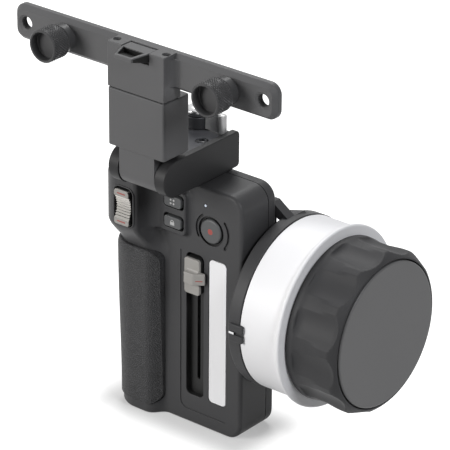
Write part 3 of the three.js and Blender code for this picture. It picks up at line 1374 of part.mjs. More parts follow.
// Bar with a chamfered front, a boss that bolts to the block, and threaded holes at both ends
function monitorBar() {
  const plank = prism('y',
    roundedRect((barLeftX + barRightX) / 2, barZ, barWidth, barHeight, barCornerRadius),
    barFrontY, barRearY + 2 * barChamfer, barChamfer);
  const bar = cut(plank, block(barLeftX - overrun, barRightX + overrun,
    barRearY, barRearY + 4 * barChamfer, barBase - overrun, barTop + overrun));
  const boss = new THREE.Shape();
  const [left, right] = [armX - blockWidth / 2, armX + blockWidth / 2];
  boss.moveTo(left - bossFillet, barFrontY);
  boss.absarc(left - bossFillet, barFrontY - bossFillet, bossFillet, Math.PI / 2, 0, true);
  boss.lineTo(left, blockFrontY);
  boss.lineTo(right, blockFrontY);
  boss.lineTo(right, barFrontY - bossFillet);
  boss.absarc(right + bossFillet, barFrontY - bossFillet, bossFillet, Math.PI, Math.PI / 2, true);
  boss.lineTo(right + bossFillet, barRearY);
  boss.lineTo(left - bossFillet, barRearY);
  const column = prism('z', boss, barBase, barTop);
  const wings = [[left - bossFillet - overrun, left], [right, right + bossFillet + overrun]];
  const wingTrim = wings.flatMap(([a, b]) => [
    block(a, b, blockFrontY - overrun, barRearY, barBase - overrun, barZ - barHeight / 2 + barChamfer),
    block(a, b, blockFrontY - overrun, barRearY, barZ + barHeight / 2 - barChamfer, barTop + overrun),
  ]);
  const lower = block(left, right, blockFrontY, barRearY, barBase, barZ);
  const body = union(bar, cut(column, ...wingTrim), lower);

  const endHoles = holeXs.map((x) => turned('y', x, barZ, [
    [0, barFrontY - overrun], [endHoleRadius + endHoleChamfer + overrun, barFrontY - overrun],
    [endHoleRadius, barFrontY + endHoleChamfer], [endHoleRadius, barRearY + overrun], [0, barRearY + overrun],
  ], roundFacets));
  const thumbHoles = thumbXs.map((x) => rod('y', x, barZ, thumbShankRadius + shaftGap,
    barFrontY - overrun, barRearY + overrun, roundFacets));
  const cornerHoles = [left + bossHoleInset, right - bossHoleInset].map((x) => rod('z', x,
    blockFrontY + bossHoleFront, bossHoleRadius, barTop - bossHoleDepth, barTop + overrun));
  const boltHoles = barBoltPlaces.map(([x, y]) => rod('z', x, y, barBoltRadius + seatGap,
    barBase - overrun, barBase + barBoltLength, pinFacets));
  const tabSeat = block(tabX - tabRootWidth / 2 - slideGap, tabX + tabRootWidth / 2 + slideGap,
    blockFrontY - overrun, blockFrontY + tabSeatDepth + slideGap,
    barTop - tabRootThickness - tabSwing, barTop + overrun);
  const tabPinSeat = rod('x', tabPinY, tabPinZ, tabPinRadius + seatGap,
    tabX - tabRootWidth / 2 - bossHoleRadius, tabX + tabRootWidth / 2 + bossHoleRadius, pinFacets);
  return cut(body, ...endHoles, ...thumbHoles, ...cornerHoles, ...boltHoles, tabSeat, tabPinSeat);
}

// Release tab that the thumb presses down, dished on top and thinner towards its tip
function releaseTab() {
  const rootY = blockFrontY + tabSeatDepth;
  const side = outline([
    [rootY, barTop - tabRootThickness + tabSwing / 2], [rootY, barTop - tabSwing / 4],
    [blockFrontY - tabReach, barTop - tabSwing / 4],
    [blockFrontY - tabReach, barTop - tabTipThickness], [blockFrontY, barTop - tabRootThickness],
  ].reverse());
  const slab = prism('x', side, tabX - tabRootWidth / 2, tabX + tabRootWidth / 2);
  const taper = tabRootWidth - tabTipWidth;
  const plan = prism('z', outline([
    [tabX - tabRootWidth / 2, rootY], [tabX - tabRootWidth / 2, blockFrontY],
    [tabX - tabRootWidth / 2 + taper * tabLeanShare, blockFrontY - tabReach],
    [tabX + tabRootWidth / 2 - taper * (1 - tabLeanShare), blockFrontY - tabReach],
    [tabX + tabRootWidth / 2, blockFrontY], [tabX + tabRootWidth / 2, rootY],
  ]), barTop - 2 * tabRootThickness, barTop + tabRootThickness);
  const scoop = rod('y', tabX - tabTipWidth / 4, barTop + tabScoopRadius - tabScoopDepth, tabScoopRadius,
    blockFrontY - tabReach + tabTipThickness / 2, blockFrontY, roundFacets);
  const bore = rod('x', tabPinY, tabPinZ, tabPinRadius + shaftGap,
    tabX - tabRootWidth, tabX + tabRootWidth, roundFacets);
  return cut(slab.intersect(plan), scoop, bore);
}

function tabPin() {
  const reach = tabRootWidth / 2 + bossHoleRadius - seatGap;
  return rod('x', tabPinY, tabPinZ, tabPinRadius, tabX - reach, tabX + reach, pinFacets);
}

function barBolt([x, y]) {
  return rod('z', x, y, barBoltRadius, blockTop - barBoltLength + seatGap,
    barBase + barBoltLength - seatGap, pinFacets);
}

// Thumb screw with a knurled, cupped head, a neck, a collar and a shank through the bar
function thumbScrew(x) {
  const collarStart = barFrontY - seatGap - thumbCollarLength;
  const headEnd = collarStart - thumbNeckLength;
  const headStart = headEnd - thumbHeadLength;
  const knurl = [];
  for (let i = 0; i < 2 * thumbTeeth; i += 1) {
    const radius = i % 2 ? thumbHeadRadius : thumbHeadRadius - thumbToothDepth;
    const angle = i * Math.PI / thumbTeeth;
    knurl.push([x + radius * Math.cos(angle), barZ + radius * Math.sin(angle)]);
  }
  const head = prism('y', outline(knurl), headStart, headEnd, thumbEdge);
  const cup = rod('y', x, barZ, thumbCupRadius, headStart - overrun, headStart + thumbCupDepth, roundFacets);
  const stem = turned('y', x, barZ, [
    [0, headEnd - thumbEdge], [thumbNeckRadius, headEnd - thumbEdge], [thumbNeckRadius, collarStart],
    [thumbCollarRadius, collarStart], [thumbCollarRadius, barFrontY - seatGap],
    [thumbShankRadius, barFrontY - seatGap], [thumbShankRadius, barRearY + thumbShankOut - thumbEdge],
    [thumbShankRadius - thumbEdge, barRearY + thumbShankOut], [0, barRearY + thumbShankOut],
  ], smallFacets);
  return union(cut(head, cup), stem);
}

// Assembly

const plastic = 0x4a4b4d;
const darkPlastic = 0x3a3b3d;
const warmGrey = 0xa39d93;
const white = 0xf2f2f4;
const steel = 0xb9bbbe;
const natural = 0xd8c9a0;
const blackened = 0x1b1c1e;
const form = bodyForm();

mesh(assembly, 'front_housing', frontHousing(form), plastic, 0.55, 0.1);
mesh(assembly, 'rear_housing', rearHousing(form), plastic, 0.55, 0.1);
mesh(assembly, 'grip_skin', gripSkin(), 0x2f3032, 0.85, 0);
mesh(assembly, 'battery_door', batteryDoor(), darkPlastic, 0.6, 0);
mesh(assembly, 'battery_pack', batteryPack(), 0x55585c, 0.5, 0);
mesh(assembly, 'main_board', mainBoard(), 0x1f5a3a, 0.6, 0);
mesh(assembly, 'key_board', keyBoard(), 0x1f5a3a, 0.6, 0);
mesh(assembly, 'marking_strip', markingStrip(), white, 0.6, 0);
mesh(assembly, 'status_light', statusLight(), white, 0.3, 0);
mesh(assembly, 'slider_track', sliderTrack(), 0x6a6c70, 0.4, 0.6);
mesh(assembly, 'rocker_pin', rockerPin(), steel, 0.3, 1);
mesh(assembly, 'rocker_switch', rockerSwitch(), 0x222326, 0.6, 0);
screwPlaces.forEach(([x, z], i) => {
  mesh(assembly, `housing_screw_${i + 1}`, countersunkScrew(x, z), blackened, 0.35, 0.8);
});

mesh(assembly, 'knob_shroud', knobShroud(), plastic, 0.5, 0.2);
mesh(assembly, 'index_mark', indexMark(), steel, 0.3, 1);
mesh(assembly, 'encoder_body', encoderBody(), 0x2a2b2e, 0.5, 0);
mesh(assembly, 'bearing_inner', bearing(sleeveX + bearingThickness / 2), steel, 0.25, 1);
mesh(assembly, 'bearing_outer', bearing(sleeveEnd - bearingThickness - seatGap), steel, 0.25, 1);
webScrewPlaces.forEach((place, i) => {
  mesh(assembly, `bracket_screw_${i + 1}`, webScrew(place), blackened, 0.35, 0.8);
});

mesh(assembly, 'hinge_arm', hingeArm(), plastic, 0.5, 0.3);
mesh(assembly, 'hinge_pin', hingePin(), steel, 0.3, 1);
mesh(assembly, 'mount_plate', mountPlate(), steel, 0.35, 0.9);
mesh(assembly, 'plate_screw', plateScrew(), blackened, 0.35, 0.8);
mesh(assembly, 'lock_post', lockPost(), 0x5c5e62, 0.25, 1);

const wheelGroup = movingGroup(wheelX, axisY, axisHeight);
mesh(wheelGroup, 'focus_wheel', focusWheel(), darkPlastic, 0.6, 0.1);
mesh(wheelGroup, 'wheel_cap', wheelCap(), plastic, 0.55, 0.1);
mesh(wheelGroup, 'marking_ring', markingRing(), white, 0.6, 0);
mesh(wheelGroup, 'wheel_shaft', wheelShaft(), steel, 0.25, 1);
const driveGear = gear(driveTeeth, axisHeight, shaftRadius + seatGap, -Math.PI / 2);
mesh(wheelGroup, 'drive_gear', driveGear, natural, 0.5, 0);

const encoderGroup = movingGroup(gearX, axisY, encoderZ);
mesh(encoderGroup, 'encoder_gear', encoderGear(), natural, 0.5, 0);

const sliderGroup = movingGroup(channelX, panelY, sliderZ);
mesh(sliderGroup, 'iris_slider', irisSlider(), warmGrey, 0.4, 0.3);
mesh(sliderGroup, 'slider_carriage', sliderCarriage(), 0x222326, 0.5, 0);

const rockerGroup = movingGroup(rockerX, rockerPinY, rockerZ);
mesh(rockerGroup, 'zoom_rocker', zoomRocker(), warmGrey, 0.4, 0.3);

mesh(movingGroup(keyX, islandY, keyUpperZ), 'multi_button', keyCap(keyUpperZ), plastic, 0.5, 0);
mesh(movingGroup(keyX, islandY, keyLowerZ), 'lock_button', keyCap(keyLowerZ), plastic, 0.5, 0);
mesh(movingGroup(recordX, panelY, recordZ), 'record_button', recordButton(), plastic, 0.5, 0);

const leverGroup = movingGroup(postX, postY, plateTop);
mesh(leverGroup, 'clamp_lever', clampLever(), steel, 0.35, 0.9);

const tiltGroup = movingGroup(armX, hingeY, hingeZ);
mesh(tiltGroup, 'tilt_block', tiltBlock(), plastic, 0.5, 0.3);
mesh(tiltGroup, 'monitor_bar', monitorBar(), plastic, 0.5, 0.3);
barBoltPlaces.forEach((place, i) => {
  mesh(tiltGroup, `bar_bolt_${i + 1}`, barBolt(place), blackened, 0.35, 0.8);
});
mesh(tiltGroup, 'tab_pin', tabPin(), steel, 0.3, 1);
mesh(movingGroup(tabX, tabPinY, tabPinZ), 'release_tab', releaseTab(), darkPlastic, 0.45, 0.3);
thumbXs.forEach((x, i) => {
  const name = i ? 'thumb_screw_right' : 'thumb_screw_left';
  mesh(movingGroup(x, barFrontY, barZ), name, thumbScrew(x), darkPlastic, 0.35, 0.7);
});

export default assembly;
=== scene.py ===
import json
import math
from functools import cached_property

import bmesh
import bpy
from bpy.props import FloatProperty, FloatVectorProperty, IntProperty, PointerProperty
from bpy.types import Operator, Panel, PropertyGroup
from mathutils import Matrix, Quaternion, Vector


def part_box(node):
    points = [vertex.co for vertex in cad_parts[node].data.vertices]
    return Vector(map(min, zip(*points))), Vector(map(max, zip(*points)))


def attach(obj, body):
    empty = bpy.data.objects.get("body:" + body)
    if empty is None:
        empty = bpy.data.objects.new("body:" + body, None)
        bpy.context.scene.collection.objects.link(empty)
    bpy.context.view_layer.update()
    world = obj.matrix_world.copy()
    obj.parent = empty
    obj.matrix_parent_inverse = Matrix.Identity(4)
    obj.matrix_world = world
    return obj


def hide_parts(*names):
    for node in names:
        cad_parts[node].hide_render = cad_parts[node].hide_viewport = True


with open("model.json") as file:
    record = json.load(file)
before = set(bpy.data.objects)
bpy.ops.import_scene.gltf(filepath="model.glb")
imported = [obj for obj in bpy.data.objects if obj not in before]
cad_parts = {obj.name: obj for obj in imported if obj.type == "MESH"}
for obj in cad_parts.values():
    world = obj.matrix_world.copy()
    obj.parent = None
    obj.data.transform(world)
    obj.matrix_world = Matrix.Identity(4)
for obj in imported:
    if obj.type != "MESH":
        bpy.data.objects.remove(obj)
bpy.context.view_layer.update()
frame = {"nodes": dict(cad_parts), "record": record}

bl_info = {
    "name": "Lens focus controller",
    "version": (1, 0, 0),
    "blender": (4, 5, 0),
    "location": "3D View > Sidebar > Controller",
    "description": "Builds the visible pieces of a hand-held lens focus controller",
    "category": "Object",
}

MM = 0.001
OVERRUN = 3.0  # how far a cutter passes the face that it cuts, in millimetres
SEAT = 0.3  # gap between pieces that rest on one another, in millimetres
PLAY = 0.08  # gap round a pin that a piece turns on, in millimetres
FAR = 200.0  # past every side of the controller, in millimetres
MERGE = 0.0005  # points nearer than this are one, in millimetres
WHITE = (1.0, 1.0, 1.0, 1.0)


# Settings


def length(name, description, millimetres):
    return FloatProperty(name=name, description=description, default=millimetres * MM, min=0.0,
                         unit="LENGTH", precision=5)


def colour(name, description, value):
    return FloatVectorProperty(name=name, description=description, default=value, min=0.0, max=1.0,
                               size=3, subtype="COLOR")


def degrees(name, description, value):
    return FloatProperty(name=name, description=description, default=math.radians(value),
                         unit="ROTATION", subtype="ANGLE")


def share(name, description, value):
    return FloatProperty(name=name, description=description, default=value, min=0.0, max=1.0,
                         subtype="FACTOR")


class ControllerFinishes(PropertyGroup):
    """Colours of the finishes"""
    housing: colour("Housing", "Moulded charcoal plastic of the shells", (0.046, 0.046, 0.048))
    cap: colour("Cap", "Round cap of the wheel", (0.080, 0.080, 0.082))
    anodised: colour("Anodised metal", "Arm, block, bar and tab", (0.100, 0.100, 0.103))
    arm: colour("Arm", "Arm that carries the tilting block", (0.021, 0.021, 0.022))
    rubber: colour("Rubber", "Skin of the grip", (0.027, 0.027, 0.029))
    wheel: colour("Wheel", "Fluted wheel", (0.040, 0.040, 0.042))
    white: colour("White", "Marking ring and strip", (0.86, 0.86, 0.88))
    control: colour("Control grey", "Slider and rocker", (0.30, 0.29, 0.275))
    # Dark sides of the slider and rocker, and also the painted shade in the front shell's recesses and
    # the tab's scoop
    dark_side: colour("Control sides", "Dark sides of the slider", (0.018, 0.018, 0.018))
    key: colour("Keys", "Faces of the keys", (0.066, 0.068, 0.070))
    mark: colour("Marks", "Printed marks on the keys", (0.42, 0.42, 0.42))
    red: colour("Red", "Index lines and the record mark", (0.30, 0.055, 0.045))
    steel: colour("Steel", "Bright steel", (0.62, 0.62, 0.63))
    dark_steel: colour("Dark steel", "Blackened steel", (0.045, 0.046, 0.050))
    aluminium: colour("Aluminium", "Clamp lever", (0.42, 0.42, 0.42))
    board: colour("Board", "Circuit boards", (0.012, 0.090, 0.045))
    cell: colour("Battery", "Sleeve of the battery", (0.055, 0.075, 0.110))
    gear: colour("Gears", "Natural moulded gears", (0.74, 0.68, 0.52))
    light: colour("Status light", "Lens of the status light", (0.80, 0.88, 1.0))


class ControllerStage(PropertyGroup):
    """Camera, lamps and floor"""
    azimuth: degrees("Azimuth", "Turn of the camera from the front towards the wheel", 39.063)
    elevation: degrees("Elevation", "Height of the camera over the horizon", 25.715)
    roll: degrees("Roll", "Turn of the camera about its own view", 0.452)
    distance: length("Distance", "From the target to the camera", 1384.84)
    target: FloatVectorProperty(name="Target", description="Point that the camera looks at",
                                default=(0.01708, 0.00158, 0.09886), unit="LENGTH", subtype="XYZ")
    field: degrees("Field of view", "Angle across the picture", 8.1716)
    key_power: FloatProperty(name="Key light", description="Power of the large lamp at the front left",
                             default=9.8, min=0.0, unit="POWER")
    top_power: FloatProperty(name="Top light", description="Power of the lamp over and behind",
                             default=6.5, min=0.0, unit="POWER")
    fill_power: FloatProperty(name="Fill light", description="Power of the lamp at the right",
                              default=7.0, min=0.0, unit="POWER")
    ambient: share("Ambient", "Strength of the light from all round", 0.05)
    floor_tone: share("Floor tone", "Tone of the floor under the lamps", 0.40)
    # Painted shadow: within a box round the base and its fade, the floor's glow drops to the floor lift,
    # greying the floor there; the lamps' own shadow falls there too
    floor_lift: share("Floor lift", "White of the floor beside the object that needs no lamp", 0.38)
    shadow_wide: length("Shadow width", "Half the width of the full shadow", 34)
    shadow_deep: length("Shadow depth", "Half the depth of the full shadow", 12)
    shadow_fade: length("Shadow fade", "Over which the shadow fades out", 22)


# Materials


class Wire:
    """An output socket whose arithmetic adds Math nodes to its finish"""

    def __init__(self, finish, socket):
        self.finish = finish
        self.socket = socket

    def __add__(self, other):
        return self.finish.math("ADD", self, other)

    def __sub__(self, other):
        return self.finish.math("SUBTRACT", self, other)

    def __mul__(self, other):
        return self.finish.math("MULTIPLY", self, other)

    def __lt__(self, other):
        return self.finish.math("LESS_THAN", self, other)

    def __gt__(self, other):
        return self.finish.math("GREATER_THAN", self, other)

    def __rsub__(self, other):
        return self.finish.math("SUBTRACT", other, self)

    def __abs__(self):
        return self.finish.math("ABSOLUTE", self)

    __radd__ = __add__
    __rmul__ = __mul__


class Finish:
    """Nodes of a new material, or of the world, wired up step by step"""

    def __init__(self, owner):
        self.owner = bpy.data.materials.new(owner) if isinstance(owner, str) else owner
        self.owner.use_nodes = True
        self.tree = self.owner.node_tree
        self.tree.nodes.clear()

    @cached_property
    def place(self):
        return self.node("ShaderNodeTexCoord", output="Object")

    def node(self, kind, settings=None, inputs=None, output=0):
        made = self.tree.nodes.new(kind)
        for key, value in (settings or {}).items():
            setattr(made, key, value)
        for key, value in (inputs or {}).items():
            if isinstance(value, Wire):
                self.tree.links.new(value.socket, made.inputs[key])
            else:
                made.inputs[key].default_value = value
        return Wire(self, made.outputs[output])

    def math(self, operation, *values):
        return self.node("ShaderNodeMath", {"operation": operation}, dict(enumerate(values)))

    def part(self, axis):
        return self.node("ShaderNodeSeparateXYZ", inputs={"Vector": self.place}, output=axis)

    def noise(self, scale, detail=2.0, roughness=0.5):
        return self.node("ShaderNodeTexNoise", inputs={
            "Vector": self.place, "Scale": scale, "Detail": detail, "Roughness": roughness})

    def mix(self, factor, low, high):
        return self.node("ShaderNodeMix", {"data_type": "RGBA"},
                         {0: factor, 6: as_rgba(low), 7: as_rgba(high)}, 2)

    def spread(self, wire, low, high, reach=1.0, kind="LINEAR"):
        """Low where the wire is 0, rising to high where it is the reach or more"""
        return self.node("ShaderNodeMapRange", {"interpolation_type": kind}, {
            "Value": wire, "From Min": 0.0, "From Max": reach, "To Min": low, "To Max": high})

    def bump(self, height, distance):
        return self.node("ShaderNodeBump", inputs={"Height": height, "Distance": distance})

    def seen(self):
        """1 for the rays in which the camera sees a surface, also in a mirror or through glass"""
        camera, mirror, glass = (self.node("ShaderNodeLightPath", output="Is %s Ray" % kind)
                                 for kind in ("Camera", "Glossy", "Transmission"))
        return camera + mirror + glass

    def close(self, base, **sockets):
        """Material with a shader whose sockets have these values"""
        inputs = {"Base Color": as_rgba(base)}
        inputs.update({key.replace("_", " ").title().replace("Ior", "IOR"): value
                       for key, value in sockets.items()})
        return self.end(self.node("ShaderNodeBsdfPrincipled", inputs=inputs))

    def end(self, shader):
        kind = "World" if isinstance(self.owner, bpy.types.World) else "Material"
        out = self.tree.nodes.new("ShaderNodeOutput" + kind)
        self.tree.links.new(shader.socket, out.inputs["Surface"])
        return self.owner


def as_rgba(value):
    if isinstance(value, Wire) or len(value) == 4:
        return value
    return (*value, 1.0)


def shade(value, factor):
    return tuple(min(1.0, channel * factor) for channel in value)


def grained(name, value, grain=0.25):
    """Finish of a moulding with its spark-eroded grain, slow drift and tone"""
    f = Finish(name)
    fine, broad = f.noise(1 / (grain * MM), 3.0, 0.6), f.noise(22.0)
    return f, fine, broad, f.mix(broad * 0.6 + fine * 0.4, shade(value, 0.90), shade(value, 1.10))


def moulded(name, value, roughness=0.44, grain=0.25, depth=0.05, specular=0.16):
    """Moulded plastic, with its grain in millimetres"""
    f, fine, broad, tone = grained(name, value, grain)
    return f.close(tone, roughness=f.spread(broad, roughness - 0.05, roughness + 0.06),
                   specular_ior_level=specular, normal=f.bump(fine, depth * MM))


def dressed_metal(name, value, roughness, metallic=0.0):
    """Blasted and anodised or ground metal"""
    f = Finish(name)
    fine = f.noise(1 / (0.12 * MM), 2.0, 0.6)
    broad = f.noise(30.0)
    tone = f.mix(broad, shade(value, 0.92), shade(value, 1.08))
    return f.close(tone, roughness=f.spread(broad, roughness - 0.04, roughness + 0.05),
                   metallic=metallic, specular_ior_level=0.16, normal=f.bump(fine, 0.012 * MM))


def leather_rubber(name, value):
    """Rubber with a shallow leather grain of small uneven cells, with painted shade in its furrows"""
    f = Finish(name)
    cell, pore, furrow = 0.85 * MM, 0.3 * MM, 0.18
    edge = f.node("ShaderNodeTexVoronoi", {"feature": "DISTANCE_TO_EDGE"},
                  {"Vector": f.place, "Scale": 1 / cell}, "Distance")
    pore = f.noise(1 / pore, 3.0, 0.6)
    height = f.spread(edge, 0.0, 1.0, furrow)
    # Painted shade: the furrows are darkened in colour as well as sunk by the bump
    tone = f.mix(height, shade(value, 0.35), shade(value, 1.20))
    return f.close(tone, roughness=f.spread(pore, 0.50, 0.68), specular_ior_level=0.45,
                   normal=f.bump(height + pore * 0.5, 0.30 * MM))


def satin_white(name, value):
    """White moulding with a very fine grain"""
    f = Finish(name)
    fine = f.noise(1 / (0.2 * MM))
    tone = f.mix(f.noise(18.0), shade(value, 0.985), shade(value, 1.0))
    return f.close(tone, roughness=f.spread(fine, 0.42, 0.52), specular_ior_level=0.4,
                   normal=f.bump(fine, 0.008 * MM))


def circuit_board(name, value):
    """Green lacquer over darker copper lanes"""
    f = Finish(name)
    lanes = f.node("ShaderNodeTexBrick", inputs={
        "Vector": f.place, "Scale": 120.0, "Mortar Size": 0.04, "Color1": (0, 0, 0, 1),
        "Color2": (0.2, 0.2, 0.2, 1), "Mortar": (1, 1, 1, 1)})
    tone = f.mix(lanes, value, shade(value, 0.45))
    return f.close(tone, roughness=f.spread(f.noise(60.0), 0.28, 0.40))


# Stage


def put_in_scene(name, data):
    """Object for a lamp, a camera or a bmesh, which it uses up"""
    if isinstance(data, bmesh.types.BMesh):
        mesh = bpy.data.meshes.new(name)
        data.to_mesh(mesh)
        data.free()
        data = mesh
    made = bpy.data.objects.new(name, data)
    bpy.context.scene.collection.objects.link(made)
    return made


LAMPS = (  # name, direction, distance and size in metres, colour
    ("key", (-0.40, -0.84, 0.30), 1.1, (0.45, 0.45), (1.0, 0.99, 0.97)),
    ("top", (-0.36, 0.50, 0.80), 1.1, (0.5, 0.4), (1.0, 1.0, 1.0)),
    ("fill", (0.75, -0.18, 0.60), 1.2, (0.35, 0.35), (0.97, 0.98, 1.0)),
)


class CONTROLLER_OT_stage(Operator):
    """Adds the floor, the soft lamps, the white surroundings and the camera"""
    bl_idname = "controller.stage"
    bl_label = "Stage"

    def execute(self, context):
        scene = context.scene
        stage = scene.controller_stage
        scene.view_settings.view_transform = "Standard"
        self.add_floor(stage)
        self.add_world(scene, stage)
        for lamp in LAMPS:
            self.add_lamp(stage, *lamp)
        self.add_camera(scene, stage)
        return {"FINISHED"}

    def add_floor(self, stage):
        half = 20.0
        bm = bmesh.new()
        bmesh.ops.create_grid(bm, x_segments=1, y_segments=1, size=half)
        floor = put_in_scene("floor", bm)
        f = Finish("pale_floor")
        paper = f.node("ShaderNodeBsdfDiffuse", inputs={"Color": as_rgba([stage.floor_tone] * 3)})
        # Painted shadow: the floor glows less near the base and is greyer there even where the lamps
        # reach, and the lamps' own shadow shows in it too
        across, along = (f.math("MAXIMUM", abs(f.part(axis)) - reach, 0.0)
                         for axis, reach in enumerate((stage.shadow_wide, stage.shadow_deep)))
        away = f.math("SQRT", across * across + along * along)
        lift = f.spread(away, stage.floor_lift, 1.0, stage.shadow_fade, "SMOOTHSTEP")
        light = f.node("ShaderNodeEmission", inputs={"Color": WHITE, "Strength": f.seen() * lift})
        paint = f.end(f.node("ShaderNodeAddShader", inputs={0: paper, 1: light}))
        floor.data.materials.append(paint)

    def add_world(self, scene, stage):
        scene.world = bpy.data.worlds.new("soft_surroundings")
        f = Finish(scene.world)
        strength = f.spread(f.seen(), stage.ambient, 1.0)
        f.end(f.node("ShaderNodeBackground", inputs={"Color": WHITE, "Strength": strength}))

    def add_lamp(self, stage, name, direction, distance, size, colour_of_light):
        light = bpy.data.lights.new(name + "_light", "AREA")
        light.shape = "RECTANGLE"
        light.size, light.size_y = size
        light.energy = getattr(stage, name + "_power")
        light.color = colour_of_light
        lamp = put_in_scene(light.name, light)
        heading = Vector(direction).normalized()
        lamp.location = Vector(stage.target) + heading * distance
        lamp.rotation_mode = "QUATERNION"
        lamp.rotation_quaternion = heading.to_track_quat("Z", "Y")

    def add_camera(self, scene, stage):
        turn, rise = stage.azimuth, stage.elevation
        back = Vector((math.sin(turn) * math.cos(rise), -math.cos(turn) * math.cos(rise),
                       math.sin(rise)))
        data = bpy.data.cameras.new("camera")
        camera = put_in_scene("camera", data)
        camera.location = Vector(stage.target) + back * stage.distance
        camera.rotation_mode = "QUATERNION"
        level = (-back).to_track_quat("-Z", "Y")
        camera.rotation_quaternion = level @ Quaternion((0.0, 0.0, 1.0), stage.roll)
        data.sensor_width = 36.0
        data.angle = stage.field
        data.clip_start = 0.05
        data.clip_end = 60.0
        scene.camera = camera


# Finishes of the slots


SLOT_OF = {part["node"]: part["material_slot"] for part in frame["record"]["subparts"]}
FINISH_MAKERS = {
    "housing": lambda c: moulded("charcoal_moulding", c.housing),
    "rear_shell": lambda c: moulded("charcoal_back_moulding", c.housing),
    "rubber": lambda c: leather_rubber("leather_grain_rubber", c.rubber),
    "wheel_plastic": lambda c: moulded("wheel_moulding", c.wheel, roughness=0.50, grain=0.18),
    "white_ring": lambda c: satin_white("white_ring_moulding", c.white),
    "white_strip": lambda c: satin_white("white_strip_moulding", c.white),
    "control_grey": lambda c: moulded("warm_grey_control", c.control, roughness=0.45),
    "keys": lambda c: moulded("key_moulding", c.key, roughness=0.45),
    "black_metal": lambda c: dressed_metal("anodised_black", c.anodised, 0.45),
    "knurled_metal": lambda c: dressed_metal("knurled_black", shade(c.anodised, 0.6), 0.34),
    "dark_steel": lambda c: dressed_metal("blackened_steel", c.dark_steel, 0.32),
    "bright_steel": lambda c: dressed_metal("bright_steel", c.steel, 0.25, metallic=1.0),
    "bright_aluminium": lambda c: dressed_metal("bright_aluminium", c.aluminium, 0.38, metallic=0.45),
    "board": lambda c: circuit_board("green_board", c.board),
    "battery": lambda c: moulded("battery_sleeve", c.cell, roughness=0.35),
    "black_plastic": lambda c: moulded("black_moulding", shade(c.housing, 0.35)),
    "gear_plastic": lambda c: moulded("natural_gear_moulding", c.gear),
    "light_lens": lambda c: satin_white("milky_lens", c.light),
}


def finish(slot):
    name = "finish_" + slot
    if name not in bpy.data.materials:
        made = FINISH_MAKERS[slot](bpy.context.scene.controller_finishes)
        made.name = name
    return bpy.data.materials[name]


# Sizes of the pieces


class ControllerBody(PropertyGroup):
    """Shells of the hand unit"""
    width: length("Width", "Across the panel and the grip", 70.5)
    height: length("Height", "From the base to the top", 120)
    depth: length("Depth", "From the panel to the back", 24)
    corner: length("Corner", "Radius of the panel's corners", 8)
    edge: length("Edge", "Radius along the outer edges", 1.8)
    wall: length("Wall", "Wall of the shells", 2.4)
    rear_depth: length("Rear shell", "Depth of the rear shell", 5.7)
    seam: length("Seam", "Groove between the shells", 0.4)
    lip: length("Lip", "Depth of that groove, down to the lip that closes it", 0.8)
    screw_boss: length("Screw boss", "Radius of the boss round a shell screw", 3.4)
    screw_hole: length("Screw hole", "Radius of the hole of a screw in the shells", 1.8)
    screw_sink: length("Screw sink", "Radius of the recess of a screw's head", 2.9)
    screw_head: length("Screw head", "Radius of a screw's head", 2.6)
    screw_shank: length("Screw shank", "Radius of a screw's shank", 1.5)
    door_corner: length("Door corner", "Corners of the battery door", 3)
    door: length("Door", "Thickness of the battery door", 2)
    ridges: IntProperty(name="Ridges", description="Ridges under the door's scoop", default=4, min=1)
    ridge_pitch: length("Ridge pitch", "From ridge to ridge", 1.6)


class ControllerGrip(PropertyGroup):
    """Hand grip, nose and rubber skin"""
    proud: length("Proud", "Grip in front of the panel", 6)
    face: length("Face", "Width of the grip's face", 20)
    fillet: length("Fillet", "Width of the slope from the face to the panel", 9.5)
    corner: length("Corner", "Radius of the grip's outer corner", 13)
    rear_corner: length("Rear corner", "Radius of the rear corner", 3)
    wall: length("Wall", "Wall of the grip", 4)
    nose_height: length("Nose height", "From the top down to the grip", 36)
    nose_proud: length("Nose proud", "Nose in front of the panel", 14)
    nose_face: length("Nose face", "Width of the nose", 21.6)
    nose_sweep: length("Nose sweep", "Width of the sweep to the island", 4)
    sweep_overlap: length("Sweep overlap", "How far the sweep runs under the island", 1.6)
    nose_corner: length("Nose corner", "Radius of the nose's outer corner", 10.5)
    nose_edge: length("Nose edge", "Radius of the nose's inner edge", 2)
    nose_rise: length("Nose rise", "Height of the slope under the nose", 10.8)
    nose_wall: length("Nose wall", "Wall of the nose", 3)
    skin: length("Skin", "Thickness of the rubber skin", 1.4)
    skin_low: length("Skin proud low", "Skin past the grip at its lower end", 0.9)
    skin_high: length("Skin proud high", "Skin past the grip at its upper end", 2.2)
    skin_width: length("Skin width", "Width of the skin across the face", 27)
    skin_base: length("Skin base", "From the base to the skin", 5.4)
    skin_top: length("Skin top", "From the skin to the nose", 0.7)
    skin_corner: length("Skin corner", "Radius of the skin's corners", 6)
    skin_depth: length("Skin depth", "How far back the skin reaches", 18.5)
    skin_roll: length("Skin roll", "Height of the skin's rounded top", 4)


